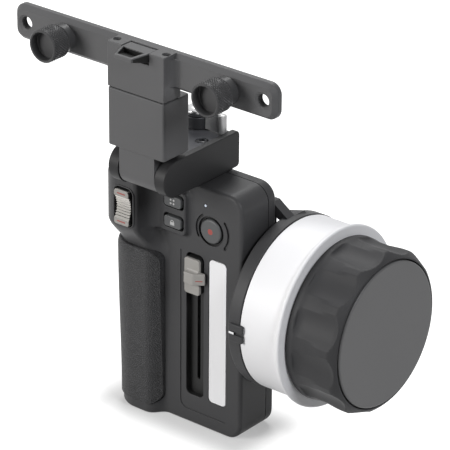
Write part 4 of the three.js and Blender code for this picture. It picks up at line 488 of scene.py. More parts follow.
class ControllerControls(PropertyGroup):
    """Rocker, keys, slider and their places"""
    slot_width: length("Slot width", "Opening of the rocker", 10.6)
    slot_height: length("Slot height", "Opening of the rocker", 18.6)
    slot_corner: length("Slot corner", "Corners of the rocker's opening", 3)
    slot_depth: length("Slot depth", "Depth of the rocker's opening", 6.6)
    rim_width: length("Rim width", "Raised rim round the rocker", 0.7)
    rim_proud: length("Rim proud", "Raised rim round the rocker", 0.4)
    rocker_width: length("Rocker width", "Across the rocker", 8.2)
    rocker_gap: length("Rocker gap", "Gap at each end of the rocker", 0.6)
    rocker_proud: length("Rocker proud", "Pads in front of the nose", 1.8)
    rocker_dish: length("Rocker dish", "Depth of the ribbed dish", 1.5)
    rocker_pad: length("Rocker pad", "Height of each pad", 3.3)
    rocker_depth: length("Rocker depth", "From the pads to the rocker's back", 5)
    rocker_nose: length("Rocker nose", "Radius of the pads' outer edges", 0.9)
    rocker_stem: length("Rocker stem", "Radius of the stem to the switch", 1.1)
    rib_height: length("Rib height", "Height of a rib in the dish", 0.6)
    ribs: IntProperty(name="Ribs", description="Ribs in the rocker's dish", default=9, min=1)
    island_width: length("Island width", "Raised field of the two keys", 15.2)
    island_height: length("Island height", "Raised field of the two keys", 21)
    island_proud: length("Island proud", "Field in front of the panel", 3)
    island_corner: length("Island corner", "Corners of the field", 2.5)
    island_edge: length("Island edge", "Radius of the field's edge", 1)
    island_foot: length("Island foot", "Hollow radius round the field", 2)
    island_drop: length("Island drop", "From the top down to the field", 5)
    key_width: length("Key width", "Across a key", 9.6)
    key_height: length("Key height", "Height of a key", 5.2)
    key_gap: length("Key gap", "Gap round a key", 0.9)
    key_corner: length("Key corner", "Corners of a key", 1.4)
    key_proud: length("Key proud", "Key in front of its field", 1)
    key_skirt: length("Key skirt", "Hidden flange round a key", 1.5)
    key_stem: length("Key stem", "Radius of the stem of a key", 1.4)
    record_radius: length("Record radius", "Round key", 5.8)
    record_recess: length("Record recess", "Ring round the round key", 1.2)
    record_depth: length("Record depth", "Depth of that ring", 1.1)
    fence_radius: length("Fence radius", "Inside of the right groove", 9.3)
    groove: length("Groove", "Width of the curved grooves", 1.4)
    groove_depth: length("Groove depth", "Depth of the curved grooves", 0.8)
    channel_width: length("Channel width", "Width of the slider's channel", 9.9)
    channel_depth: length("Channel depth", "Depth of the slider's channel", 3)
    channel_corner: length("Channel corner", "Corners of the channel", 2.5)
    channel_floor: length("Channel floor", "Wall behind the channel", 2)
    slit: length("Slit", "Width of the slit", 1.7)
    slit_margin: length("Slit margin", "From the channel's end to the slit", 7.4)
    pad_width: length("Pad width", "Width of the slider's pads", 8.5)
    pad_proud: length("Pad proud", "Slider's pads in front of the panel", 2.4)
    pad_cap: length("Pad cap", "Light cap of the slider", 1.3)
    grip_proud: length("Grip proud", "Slider's grip in front of the panel", 4.9)
    grip_height: length("Grip height", "Height of the slider's grip", 5.5)
    grip_width: length("Grip width", "Width of the slider's grip", 5.4)
    grip_inset: length("Grip inset", "From the pad's left edge to the grip", 1.5)
    wedge_reach: length("Wedge reach", "How far the wedge runs over the panel", 4)
    wedge_proud: length("Wedge proud", "Wedge's end in front of the panel", 1.8)
    line_width: length("Line width", "Engraved line round the slider", 0.9)
    line_depth: length("Line depth", "Engraved line round the slider", 0.35)
    line_side: length("Line side", "From the channel to the line beside it", 3.4)
    line_base: length("Line base", "From the base to the line below the channel", 6.8)
    line_corner: length("Line corner", "Radius of the line's corner", 4)
    line_reach: length("Line reach", "Length of the line below the channel", 26)
    strip: length("Strip", "Thickness of the white strip", 0.8)
    strip_corner: length("Strip corner", "Corners of the white strip", 2)
    light: length("Light", "Radius of the status light", 0.6)


class ControllerWheel(PropertyGroup):
    """Focus wheel unit"""
    steps: IntProperty(name="Steps", description="Steps round a large turned piece", default=144, min=36)
    drum: length("Drum radius", "White marking drum", 40.2)
    drum_wall: length("Drum wall", "Wall of the drum", 2.3)
    drum_length: length("Drum length", "Straight part of the drum", 17)
    flange: length("Flange radius", "Rolled lip of the drum", 42.2)
    flange_thickness: length("Flange thickness", "Thickness of the lip", 2)
    flange_sweep: length("Flange sweep", "Length of the hollow curve to the lip", 3.6)
    flange_hole: length("Flange hole", "Radius inside the lip", 33.3)
    radius: length("Wheel radius", "Over the lands", 37.8)
    waist: length("Waist", "How far the middle draws in", 0.8)
    front: length("Front radius", "At the front edge", 34.9)
    front_slope: length("Front slope", "Length of the front edge's slope", 3.6)
    flutes: IntProperty(name="Flutes", description="Hollows round the wheel", default=12, min=3)
    flute_radius: length("Flute radius", "Radius of a hollow", 20)
    flute_share: share("Flute share", "Share of the round that is hollow", 0.667)
    flute_start: length("Flute start", "From the wheel's back to the hollows", 3.2)
    flute_lead: length("Flute lead", "Length of a hollow's rounded end", 5)
    first_flute: degrees("First flute", "Turn of the first hollow", 20.5)
    cap: length("Cap radius", "Round cap", 33.7)
    cap_edge: length("Cap edge", "Radius of the cap's edge", 0.7)
    cap_groove: length("Cap groove", "Gap round the cap", 0.6)
    shroud: length("Shroud radius", "Cup behind the drum", 40.5)
    shroud_wall: length("Shroud wall", "Wall of the cup", 2.5)
    shroud_edge: length("Shroud edge", "Radius of the cup's edge", 1.2)
    shroud_depth: length("Shroud depth", "Depth of the cup", 6.7)
    hub: length("Hub", "Radius of the wheel's hub", 8)
    hub_bore: length("Hub bore", "Radius of the shaft's bore", 3.3)
    sleeve: length("Sleeve", "Length of the cup's bearing sleeve", 22)
    sleeve_radius: length("Sleeve radius", "Outside of the bearing sleeve", 9.2)
    sleeve_bore: length("Sleeve bore", "Inside of the bearing sleeve", 6.8)
    index_width: length("Index width", "Block that carries the index mark", 7.6)
    index_height: length("Index height", "Block that carries the index mark", 8.4)


class ControllerMount(PropertyGroup):
    """Arm, tilting block, bar and thumb screws"""
    arm_edge: length("Arm edge", "Edge of the arm", 0.6)
    arm_rear: length("Arm rear", "Radius of the arm's rear edges", 2)
    ear: length("Ear", "Thickness of an ear", 5.6)
    pocket: length("Pocket", "Depth of the deck's pocket", 7)
    deck: length("Deck", "From the pocket's floor to the deck", 4.9)
    deck_wall: length("Deck wall", "Wall beside the deck", 3.2)
    plate_hole: length("Plate hole", "Radius of the hole of the deck plate's screw", 1.9)
    pin_radius: length("Pin radius", "Hinge pin", 2.5)
    pin_cover: length("Pin cover", "Wall over the pin's right end", 1.6)
    block_edge: length("Block edge", "Edge of the tilting block", 0.7)
    block_corner: length("Block corner", "Upright edges of the block", 1.2)
    block_depth: length("Block depth", "Depth of the block", 17)
    block_rise: length("Block rise", "From the arm's top to the block", 2)
    bar_height: length("Bar height", "Height of the bar", 16.4)
    bar_depth: length("Bar depth", "Thickness of the bar", 4.6)
    bolt_hole: length("Bolt hole", "Radius of the holes of the bar's bolts", 2.3)
    bar_corner: length("Bar corner", "Corners of the bar", 5)
    bar_chamfer: length("Bar chamfer", "Slope round the bar's front", 2)
    boss_fillet: length("Boss fillet", "Hollow beside the boss", 3.2)
    boss_hole: length("Boss hole", "Radius of the boss's corner holes", 1.8)
    end_hole: length("End hole", "Radius of the bar's end holes", 3.25)
    thread: length("Thread", "Depth of the threads in the end holes", 0.35)
    pitch: length("Pitch", "From thread to thread", 0.75)
    tab_tip: length("Tab tip", "Width of the tab's front edge", 9.5)
    tab_rim: length("Tab rim", "Rim round the hollow in the tab", 1)
    tab_depth: length("Tab depth", "Depth of that hollow at the boss", 2.8)
    knurl: IntProperty(name="Knurl", description="Diamonds round a thumb screw", default=36, min=12)
    knurl_depth: length("Knurl depth", "Depth of the diamonds", 0.55)
    post_radius: length("Post radius", "Lock post inside the hub", 4.12)
    post_dome: length("Post dome", "Radius of the post's dome", 5.2)
    post_neck: length("Post neck", "Radius of the post's neck", 1.9)
    post_knob: length("Post knob", "Radius of the post's knob", 2.6)
    hub_radius: length("Hub radius", "Outside of the lever's hub", 5.3)
    hub_height: length("Hub height", "Height of the lever's hub round the post", 5.5)
    bead: length("Bead", "Radius of the bead at the lever's end", 2)
    leaf_step: length("Leaf step", "Step of the block's leaf behind the block's face", 0.5)
    washer: length("Washer", "Height of the thumb screw's foot", 4)
    washer_radius: length("Washer radius", "Foot of the thumb screw", 6.2)
    washer_gap: length("Washer gap", "Groove between the head and the foot", 1.1)
    thumb_neck: length("Thumb neck", "Radius in that groove", 4)
    thumb_shank: length("Thumb shank", "Shank of the thumb screw", 3)
    cup_radius: length("Cup radius", "Cup in the thumb screw's head", 6.3)
    cup_depth: length("Cup depth", "Cup in the thumb screw's head", 4.4)
    lever_thickness: length("Lever thickness", "Blade of the clamp lever", 2.4)


class Millimetres:
    """A property group of the scene whose lengths are read in millimetres"""

    def __init__(self, name):
        self.source = getattr(bpy.context.scene, "controller_" + name)

    def __getattr__(self, key):
        value = getattr(self.source, key)
        return value / MM if self.source.bl_rna.properties[key].unit == "LENGTH" else value


class Box:
    """Box of a frame node, in millimetres: corners, middle and reach along each axis"""

    def __init__(self, node):
        self.low, self.high = (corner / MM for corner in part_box(node))
        self.x, self.y, self.z = (self.low + self.high) / 2
        self.wide, self.deep, self.tall = self.high - self.low

    def along(self, axis):
        """Middle of the box as it is seen along an axis"""
        return {"x": (self.y, self.z), "y": (self.x, self.z), "z": (self.x, self.y)}[axis]

    def face(self, radius, grow=0.0):
        """Outline of the box from the front with round corners, grown on every side"""
        return round_corners(self.x, self.z, self.wide + 2 * grow, self.tall + 2 * grow, radius + grow)


# Outlines and solids, in millimetres


def arc(x, y, radius, start, end, steps):
    angles = [math.radians(start + (end - start) * i / steps) for i in range(steps + 1)]
    return [(x + radius * math.cos(a), y + radius * math.sin(a)) for a in angles]


def domed(radius, base, rise, angles):
    """Points of an oval end of a profile, at some angles from its side"""
    return [(radius * math.cos(a), base + rise * math.sin(a)) for a in map(math.radians, angles)]


def curve(points, steps):
    """Bezier curve through four control points"""
    made = []
    for i in range(steps + 1):
        t = i / steps
        weights = ((1 - t) ** 3, 3 * t * (1 - t) ** 2, 3 * t * t * (1 - t), t ** 3)
        made.append(tuple(sum(w * p[k] for w, p in zip(weights, points)) for k in (0, 1)))
    return made


def round_corners(x, y, width, height, radius, steps=8):
    """Outline of a rectangle with round corners, as a function of how far it is grown"""
    def grown(by=0.0):
        made = []
        for side_x, side_y, start in ((1, -1, -90), (1, 1, 0), (-1, 1, 90), (-1, -1, 180)):
            made += arc(x + side_x * (width / 2 - radius), y + side_y * (height / 2 - radius),
                        max(radius + by, 0.05), start, start + 90, steps)
        return made
    return grown


def circle(x, y, radius, steps=48):
    return lambda by=0.0: arc(x, y, radius + by, 0, 360 - 360 / steps, steps - 1)


def lay(axis, points, at):
    """Points of an outline on a plane square to an axis"""
    turned_to = {"x": lambda a, b: (at, a, b), "y": lambda a, b: (a, at, b),
                 "z": lambda a, b: (a, b, at)}[axis]
    return [Vector(turned_to(a, b)) for a, b in points]


def pile(layers):
    """Closed solid that is pushed up from its first outline through the others"""
    bm = bmesh.new()
    face = bm.faces.new([bm.verts.new(point) for point in layers[0]])
    order = {vert: i for i, vert in enumerate(face.verts)}
    for layer in layers[1:]:
        lower = {vert.co.to_tuple(5): i for vert, i in order.items()}
        made = bmesh.ops.extrude_face_region(bm, geom=[face])["geom"]
        if layer is not layers[1]:
            bm.faces.remove(face)
        face = next(part for part in made if isinstance(part, bmesh.types.BMFace))
        order = {vert: lower[vert.co.to_tuple(5)] for vert in face.verts}
        for vert, i in order.items():
            vert.co = layer[i]
    bmesh.ops.recalc_face_normals(bm, faces=bm.faces)
    return bm


def prism(axis, points, start, end):
    """Outline pushed straight from start to end"""
    return pile([lay(axis, points, start), lay(axis, points, end)])


def rounding(edge, steps):
    """How far in and how far on an outline lies at each step round an edge"""
    return [(edge * (1 - math.sin(a)), abs(edge) * (1 - math.cos(a)))
            for a in (math.pi / 2 * i / steps for i in range(steps + 1))] if edge else [(0.0, 0.0)]


def plate(axis, outline, start, end, rim=0.0, far_rim=0.0, steps=4):
    """Outline pushed out from start to end. A rim rounds that end's edge"""
    way = 1 if end > start else -1
    layers = [(-inward, start + way * on) for inward, on in rounding(rim, steps)]
    layers += [(-inward, end - way * on) for inward, on in reversed(rounding(far_rim, steps))]
    return pile([lay(axis, outline(grown), at) for grown, at in layers])


def opening(axis, outline, face, depth, mouth=0.3, way=1):
    """Cutter for a hole whose mouth is rounded over. It starts in front of the face"""
    layers = [(mouth, face - way * OVERRUN)]
    layers += [(outward, face + way * on) for outward, on in rounding(mouth, 3)]
    layers.append((0.0, face + way * depth))
    return pile([lay(axis, outline(grown), at) for grown, at in layers])


def block(low, high):
    bm = bmesh.new()
    bmesh.ops.create_cube(bm, size=1.0)
    low, high = Vector(low), Vector(high)
    stretch = Matrix.LocRotScale((low + high) / 2, None, high - low)
    bmesh.ops.transform(bm, matrix=stretch, verts=bm.verts)
    return bm


def merge(bm):
    bmesh.ops.remove_doubles(bm, verts=bm.verts, dist=MERGE)


def turned(axis, centre, profile, steps=48, turn=0.0):
    """Solid spun about an axis from a profile of (radius, place along the axis)"""
    bm = bmesh.new()
    direction = Vector([float(axis == other) for other in "xyz"])
    side = Quaternion(direction, turn) @ Vector((0, -1, 0) if axis == "x" else (1, 0, 0))
    middle = lay(axis, [centre], 0.0)[0]
    verts = [bm.verts.new(middle + direction * t + side * r) for r, t in profile]
    edges = [bm.edges.new(pair) for pair in zip(verts, verts[1:])]
    if profile[0][0] > 0:
        edges.append(bm.edges.new((verts[-1], verts[0])))
    bmesh.ops.spin(bm, geom=verts + edges, cent=middle, axis=direction, dvec=(0, 0, 0),
                   angle=2 * math.pi, steps=steps, use_merge=True)
    merge(bm)
    bmesh.ops.recalc_face_normals(bm, faces=bm.faces)
    return bm


def rod(axis, centre, radius, start, end, rim=0.0, steps=32):
    return plate(axis, circle(*centre, radius, steps), start, end, rim, rim)


def combine(base, others, operation):
    """Base joined with, cut by or limited to the other solids, which it uses up"""
    holder, *tools = [put_in_scene("work", bm) for bm in (base, *others)]
    for tool in tools:
        modifier = holder.modifiers.new("work", "BOOLEAN")
        modifier.operation = operation
        modifier.solver = "MANIFOLD"
        modifier.object = tool
    graph = bpy.context.evaluated_depsgraph_get()
    made = bmesh.new()
    made.from_object(holder, graph)
    for used in [holder, *tools]:
        mesh = used.data
        bpy.data.objects.remove(used)
        bpy.data.meshes.remove(mesh)
    if not made.faces:
        raise RuntimeError("a solid came out empty")
    return made


def join(base, *others):
    return combine(base, others, "UNION")


def cut(base, *others):
    return combine(base, others, "DIFFERENCE")


def limit(base, *others):
    return combine(base, others, "INTERSECT")


def soften(bm, width, angle):
    """Bevels the edges that turn by more than an angle"""
    merge(bm)
    sharp = [edge for edge in bm.edges if edge.calc_face_angle(0.0) > math.radians(angle)]
    bmesh.ops.bevel(bm, geom=sharp, offset=width, offset_type="OFFSET", segments=3, profile=0.5,
                    affect="EDGES", clamp_overlap=True, material=-1)
    return bm


def add_piece(name, bm, body, node, sharp=32.0, bevel=0.0, material=None):
    """Finished piece that rides on a body and stands for a node, whose slot it takes"""
    merge(bm)
    bmesh.ops.scale(bm, vec=(MM, MM, MM), verts=bm.verts)
    piece = put_in_scene(name, bm)
    piece.data.shade_smooth()
    piece.data.set_sharp_from_angle(angle=math.radians(sharp))
    slot = SLOT_OF[node]
    piece.data.materials.append(material or finish(slot))
    if bevel:
        edge = piece.modifiers.new("edge_round", "BEVEL")
        edge.width = bevel * MM
        edge.segments = 2
        edge.limit_method = "ANGLE"
        edge.angle_limit = math.radians(sharp)
        edge.harden_normals = False
    level = piece.modifiers.new("flat_faces", "WEIGHTED_NORMAL")
    level.keep_sharp = True
    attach(piece, body)
    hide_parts(node)


# Shells of the hand unit


GRIP_ONLY = (1000, 1001)  # heights between which a column turns into the nose, here never
NOSE_ONLY = (-2, -1)


class BodyPlaces:
    """Places that the shells share, in millimetres"""

    def __init__(self):
        self.body, self.grip, self.controls = map(Millimetres, ("body", "grip", "controls"))
        b, g, c = self.body, self.grip, self.controls
        self.right = b.width / 2
        self.left = -self.right
        self.back = Box("rear_housing").high.y
        self.panel = self.back - b.depth
        self.seam = self.back - b.rear_depth
        self.grip_front = self.panel - g.proud
        self.nose_front = self.panel - g.nose_proud
        self.grip_top = b.height - g.nose_height
        self.shoulder = self.left + g.face
        self.foot = self.shoulder + g.fillet
        self.nose_right = self.left + g.nose_face
        self.island_left = self.nose_right + g.nose_sweep
        self.island_front = self.panel - c.island_proud
        self.island = (self.island_left + c.island_width / 2,
                       b.height - c.island_drop - c.island_height / 2)
        self.key_x, self.upper_z = Box("multi_button").along("y")
        self.lower_z = Box("lock_button").z
        self.record = Box("record_button").along("y")
        self.light = Box("status_light").along("y")
        self.strip = Box("marking_strip")
        self.channel_x = Box("slider_carriage").x
        self.rocker = Box("zoom_rocker").along("y")
        self.pin_y = Box("rocker_pin").y


def ease(t):
    t = min(max(t, 0.0), 1.0)
    return t * t * (3 - 2 * t)


def column_plan(p, lean, inset, back, rise=1.0):
    """Plan of the grip, of the nose, or between them: lean is 0 for the grip and 1 for the nose.

    The sweep beside the nose ends on the panel, or with a rise of 1 on the front of the island."""
    g, steps, small_steps = p.grip, 14, 4
    left = p.left + inset
    rear = max(g.rear_corner - inset, g.rear_corner / 4)

    def outline(front, corner, tail):
        made = arc(left + rear, back - rear, rear, 90, 180, small_steps)
        made += arc(left + corner, front + corner, corner, 180, 270, steps)
        return made + tail

    foot, shoulder = p.foot - inset / 2, p.shoulder - inset / 2
    front = p.grip_front + inset
    low = outline(front, g.corner - inset, curve([
        (shoulder, front), (shoulder + g.fillet / 2, front),
        (foot - g.fillet / 2, p.panel + inset), (foot, p.panel + inset)],
        small_steps + steps) + [(foot, back)])
    overlap = 0.03
    foot, right = p.island_left - inset / 2 + g.sweep_overlap * rise, p.nose_right - inset
    front = p.nose_front + inset
    land = p.panel + inset + (p.island_front + overlap - p.panel) * rise
    edge = g.nose_edge
    high = outline(front, g.nose_corner - inset, arc(
        right - edge, front + edge, edge, -90, 0, small_steps) + curve([
            (right, front + 1.2 * edge), (right, land - g.nose_sweep),
            (right + g.nose_sweep / 4, land), (foot, land)], steps - 1) + [(foot, back)])
    return [tuple(a + (b - a) * lean for a, b in zip(one, other)) for one, other in zip(low, high)]


def column(p, inset=0.0, base=0.0, top=None, edge=None, back=None, blend=None, closed=True):
    """Grip and nose in one upright loft, with round edges at its ends unless these are left sharp"""
    edge = (p.body.edge if edge is None else edge) if closed else 0.0
    top = p.body.height if top is None else top
    back = p.back if back is None else back
    margin = 1.2
    start, end = blend or (p.grip_top - margin, p.grip_top + p.grip.nose_rise + margin)
    island_low = p.island[1] - p.controls.island_height / 2
    island_high = p.island[1] + p.controls.island_height / 2
    levels = {round(start + (end - start) * i / 12, 3) for i in range(13)}
    levels |= {round(z + i / 2, 3) for z in (island_low - 2, island_high - 1) for i in range(7)}
    rim = rounding(edge, 4)
    heights = [(base + on, inward) for inward, on in rim]
    heights += [(z, 0.0) for z in sorted(levels) if base + edge < z < top - edge]
    heights += [(top - on, inward) for inward, on in reversed(rim)]

    def lean(z):
        t = min(max((z - start) / (end - start), 0.0), 1.0)
        return 0.35 * t + 0.65 * ease(t)

    def rise(z):
        return ease((z - island_low + 2) / 3) * ease((island_high + 2 - z) / 3)

    return pile([lay("z", column_plan(p, lean(z), inset + draw, back, rise(z)), z)
                 for z, draw in heights])


def slab_outline(p):
    """Outline of the panel with the body right of the grip's corner"""
    b = p.body
    left = p.left + p.grip.corner
    return round_corners((left + p.right) / 2, b.height / 2, p.right - left, b.height, b.corner, 12)


def seam_lip(p):
    """Lip of the rear shell that closes the groove between the shells"""
    b = p.body
    back = p.back - b.edge
    core = join(prism("y", slab_outline(p)(-b.lip), p.panel + b.edge, back),
                column(p, b.lip, b.lip, b.height - b.lip, back=back, closed=False))
    band = block((-FAR, p.seam - b.seam / 2 + 0.02, -FAR), (FAR, p.seam + b.seam / 2 + 0.1, FAR))
    return cut(limit(core, band), inside(p, p.back - b.wall))


def body_form(p):
    """Outer form of both shells"""
    b, g, c = p.body, p.grip, p.controls
    slab_left = p.left + g.corner
    slab = plate("y", slab_outline(p), p.panel, p.back, b.edge, b.edge)
    square = plate("y", round_corners((slab_left + p.foot) / 2, b.height / 2, p.foot - slab_left,
                                      b.height, 2.0, 4), p.panel + b.edge, p.back, 0.0, b.edge)
    field = round_corners(*p.island, c.island_width, c.island_height, c.island_corner)
    edge, foot = c.island_edge, c.island_foot
    layers = arc(-edge, p.island_front + edge, edge, -90, 0, 4)
    layers += arc(foot, p.panel + 0.02 - foot, foot, 180, 90, 6)
    layers.append((foot, p.panel + OVERRUN))
    island = pile([lay("y", field(grown), at) for grown, at in layers])
    return join(slab, square, column(p), island)


def inside(p, back):
    """Hollow of both shells, from the walls to a plane at the back"""
    b, g = p.body, p.grip
    left = p.foot - g.wall - b.wall
    right = p.right - b.wall
    nose_base = p.grip_top + g.nose_rise + g.nose_wall
    slab = plate("y", round_corners((left + right) / 2, b.height / 2, right - left,
                                    b.height - 2 * b.wall, b.corner - b.wall),
                 p.panel + b.wall, back)
    grip = column(p, g.wall, g.wall, p.grip_top, back=back, blend=GRIP_ONLY, closed=False)
    neck = block((p.left + g.wall, p.grip_front + g.wall + g.nose_wall, p.grip_top - OVERRUN),
                 (p.island_left, back, nose_base + OVERRUN))
    nose = column(p, g.nose_wall, nose_base, b.height - b.wall, back=back, blend=NOSE_ONLY,
                  closed=False)
    return join(slab, grip, neck, nose)


def arc_band(x, y, inner, width, start, end):
    """Curved groove with round ends, as a function of how far it is grown"""
    middle = inner + width / 2

    def tip(angle, half, turn):
        a = math.radians(angle)
        return arc(x + middle * math.cos(a), y + middle * math.sin(a), half, turn, turn + 180, 8)

    def grown(by=0.0):
        half = width / 2 + by
        made = arc(x, y, middle + half, start, end, 20) + tip(end, half, end)[1:]
        made += arc(x, y, middle - half, end, start, 20)[1:]
        return made + tip(start, half, start + 180)[1:-1]
    return grown


def slider_line(p):
    """Engraved line down the left of the channel and along below it"""
    c = p.controls
    left = p.channel_x - c.channel_width / 2 - c.line_side
    base, corner, wide = c.line_base, c.line_corner, c.line_width
    right, top = left + c.line_reach, p.strip.high.z

    def grown(by=0.0):
        made = [(left - by, top + by)]
        made += arc(left + corner, base + corner, corner + by, 180, 270, 8)
        made += [(right + by, base - by), (right + by, base + wide + by)]
        made += arc(left + corner, base + corner, corner - wide - by, 270, 180, 8)
        return made + [(left + wide + by, top + by)]
    return grown


def skin_window(p, grow):
    """Prism round the skin's place, seen from the front"""
    g = p.grip
    base, top = g.skin_base - grow, p.grip_top - g.skin_top + grow
    left, right = p.left - OVERRUN, p.left + g.skin_width + grow
    window = round_corners((left + right) / 2, (base + top) / 2, right - left, top - base,
                           g.skin_corner, 10)
    return plate("y", window, p.grip_front - 2 * OVERRUN, p.grip_front + g.skin_depth + grow)


def skin_layer(p, low, high, base, top, roll=0.0):
    """Grip set off by low at the base and high at the top, where it may roll in again"""
    plans = []
    for i in range(9):
        t = i / 8
        plans.append((low + (high - low) * ease(t), base + (top - roll - base) * t))
    for i in range(1, 7 if roll else 1):
        angle = math.pi / 2 * i / 6
        plans.append((high * (0.15 + 0.85 * math.cos(angle)), top - roll * (1 - math.sin(angle))))
    return pile([lay("z", column_plan(p, 0.0, draw, p.back), z) for draw, z in plans])


class CONTROLLER_OT_shells(Operator):
    """Builds the front shell with its openings, grooves and raised fields"""
    bl_idname = "controller.shells"
    bl_label = "Front shell"

    def execute(self, context):
        p = BodyPlaces()
        b, g, c = p.body, p.grip, p.controls
        low, high = p.strip.low.z, p.strip.high.z
        channel = (p.channel_x, (low + high) / 2)
        floor = p.panel + c.channel_depth
        margin = c.channel_width / 2 + c.channel_floor + 0.4
        tray = block((p.channel_x - margin, p.panel + b.edge, low + c.channel_width / 2 - margin),
                     (p.channel_x + margin, floor + c.channel_floor,
                      high - c.channel_width / 2 + margin))
        slot = round_corners(*p.rocker, c.slot_width, c.slot_height, c.slot_corner)
        slot_rim = round_corners(*p.rocker, c.slot_width + 2 * c.rim_width,
                                 c.slot_height + 2 * c.rim_width, c.slot_corner + c.rim_width)
        rim = plate("y", slot_rim, p.nose_front - c.rim_proud, p.nose_front + g.nose_wall / 2, 0.25)
        front = cut(body_form(p), block((-FAR, p.seam - b.seam / 2, -FAR), (FAR, FAR, FAR)),
                    inside(p, p.seam + OVERRUN))
        switch = Box("rocker_switch")
        gap = Vector((SEAT, SEAT, SEAT))
        skin = g.skin + SEAT
        recess = cut(skin_window(p, SEAT), skin_layer(p, skin, skin, -OVERRUN, p.grip_top + OVERRUN))
        front = cut(join(front, tray, rim), *self.cutters(p, channel, high - low, floor, slot), recess,
                    block(switch.low - gap, switch.high + gap))
        ring = 2 * c.record_radius + 3
        # Painted shade: the walls and floors of the slider's channel, the record key's ring, the
        # rocker's slot and the key openings take the dark colour
        painted_shade = [field_mark(*place, True) for place in (
            (*channel, c.channel_width + 1, high - low + 1, p.panel + 0.6),
            (*p.record, ring, ring, p.panel + 0.5),
            (*p.rocker, c.slot_width + 0.6, c.slot_height + 0.6, p.nose_front + 0.5),
            (p.key_x, p.upper_z, c.key_width + 3, c.key_height + 3, p.island_front + 0.5),
            (p.key_x, p.lower_z, c.key_width + 3, c.key_height + 3, p.island_front + 0.5))]
        colours = context.scene.controller_finishes
        add_piece("front_shell", front, "hand_unit", "front_housing", material=marked(
            "front_moulding", colours.housing, painted_shade, colours.dark_side, 0.44, specular=0.20))
        return {"FINISHED"}

    def cutters(self, p, channel, tall, floor, slot):
        b, c = p.body, p.controls
        ring = c.record_radius + c.record_recess
        slit = round_corners(*channel, c.slit, tall - 2 * c.slit_margin, c.slit / 2 - 0.1)
        through = b.wall + OVERRUN
        fence = arc_band(*p.record, c.fence_radius, c.groove, -38, 38)
        left_fence = arc_band(*p.record, ring + 0.55, 1.1, 126, 210)
        made = [opening("y", *hole) for hole in (
            (round_corners(*channel, c.channel_width, tall, c.channel_corner), p.panel, c.channel_depth),
            (slit, floor, c.channel_floor + OVERRUN, 0.1),
            (round_corners(*p.record, 2 * ring, 2 * ring, ring - 0.01, 16), p.panel,
             c.record_depth, 0.25),
            (circle(*p.record, c.record_radius + 0.4), p.panel, through, 0.0001),
            (circle(*p.light, c.light + SEAT, 16), p.panel, through, 0.05),
            (slider_line(p), p.panel, c.line_depth, 0.12),
            (fence, p.panel, c.groove_depth, 0.15),
            (left_fence, p.panel, c.groove_depth, 0.15),
            (p.strip.face(c.strip_corner, SEAT), p.panel, c.strip + SEAT, 0.12),
            (slot, p.nose_front - c.rim_proud, c.rim_proud + c.slot_depth, 0.2))]
        for z in (p.upper_z, p.lower_z):
            hole = round_corners(p.key_x, z, c.key_width + 2 * c.key_gap,
                                 c.key_height + 2 * c.key_gap, c.key_corner + c.key_gap / 2)
            made.append(opening("y", hole, p.island_front, through + c.island_proud, 0.3))
        x, z = p.rocker
        made.append(rod("x", (p.pin_y, z), 1.0 + SEAT, x - 8.0, p.nose_right - 0.5, 0.0, 16))
        return made


class CONTROLLER_OT_skin(Operator):
    """Builds the rubber skin that swells out of the grip"""
    bl_idname = "controller.skin"
    bl_label = "Grip skin"

    def execute(self, context):
        p = BodyPlaces()
        g = p.grip
        outer = skin_layer(p, -g.skin_low, -g.skin_high, g.skin_base - OVERRUN,
                           p.grip_top - g.skin_top + 0.5, g.skin_roll)
        inner = skin_layer(p, g.skin, g.skin, -OVERRUN, p.grip_top + OVERRUN)
        add_piece("rubber_skin", cut(limit(outer, skin_window(p, 0.0)), inner), "hand_unit",
                  "grip_skin", bevel=0.7, sharp=40.0)
        return {"FINISHED"}


def socket_screw(centre, low, top, head_low, shank, head, axis="y", button=False):
    """Screw with a rounded head and a hexagonal socket, along an axis from low to its top"""
    rim, tall = 0.25, top - head_low
    profile = [(0.0, low), (shank, low), (shank, head_low), (head, head_low)]
    if button:
        profile.append((head, head_low + 0.35 * tall))
        profile += domed(head, head_low + 0.35 * tall, 0.65 * tall, (22.5, 36.0, 180 / 3.4))
    else:
        profile += [(head, top - rim), (head - rim, top)]
    body = turned(axis, centre, profile + [(0.0, top)], 32)
    return cut(body, plate(axis, circle(*centre, head * 0.55, 6), top - 0.7 * tall, top + OVERRUN))


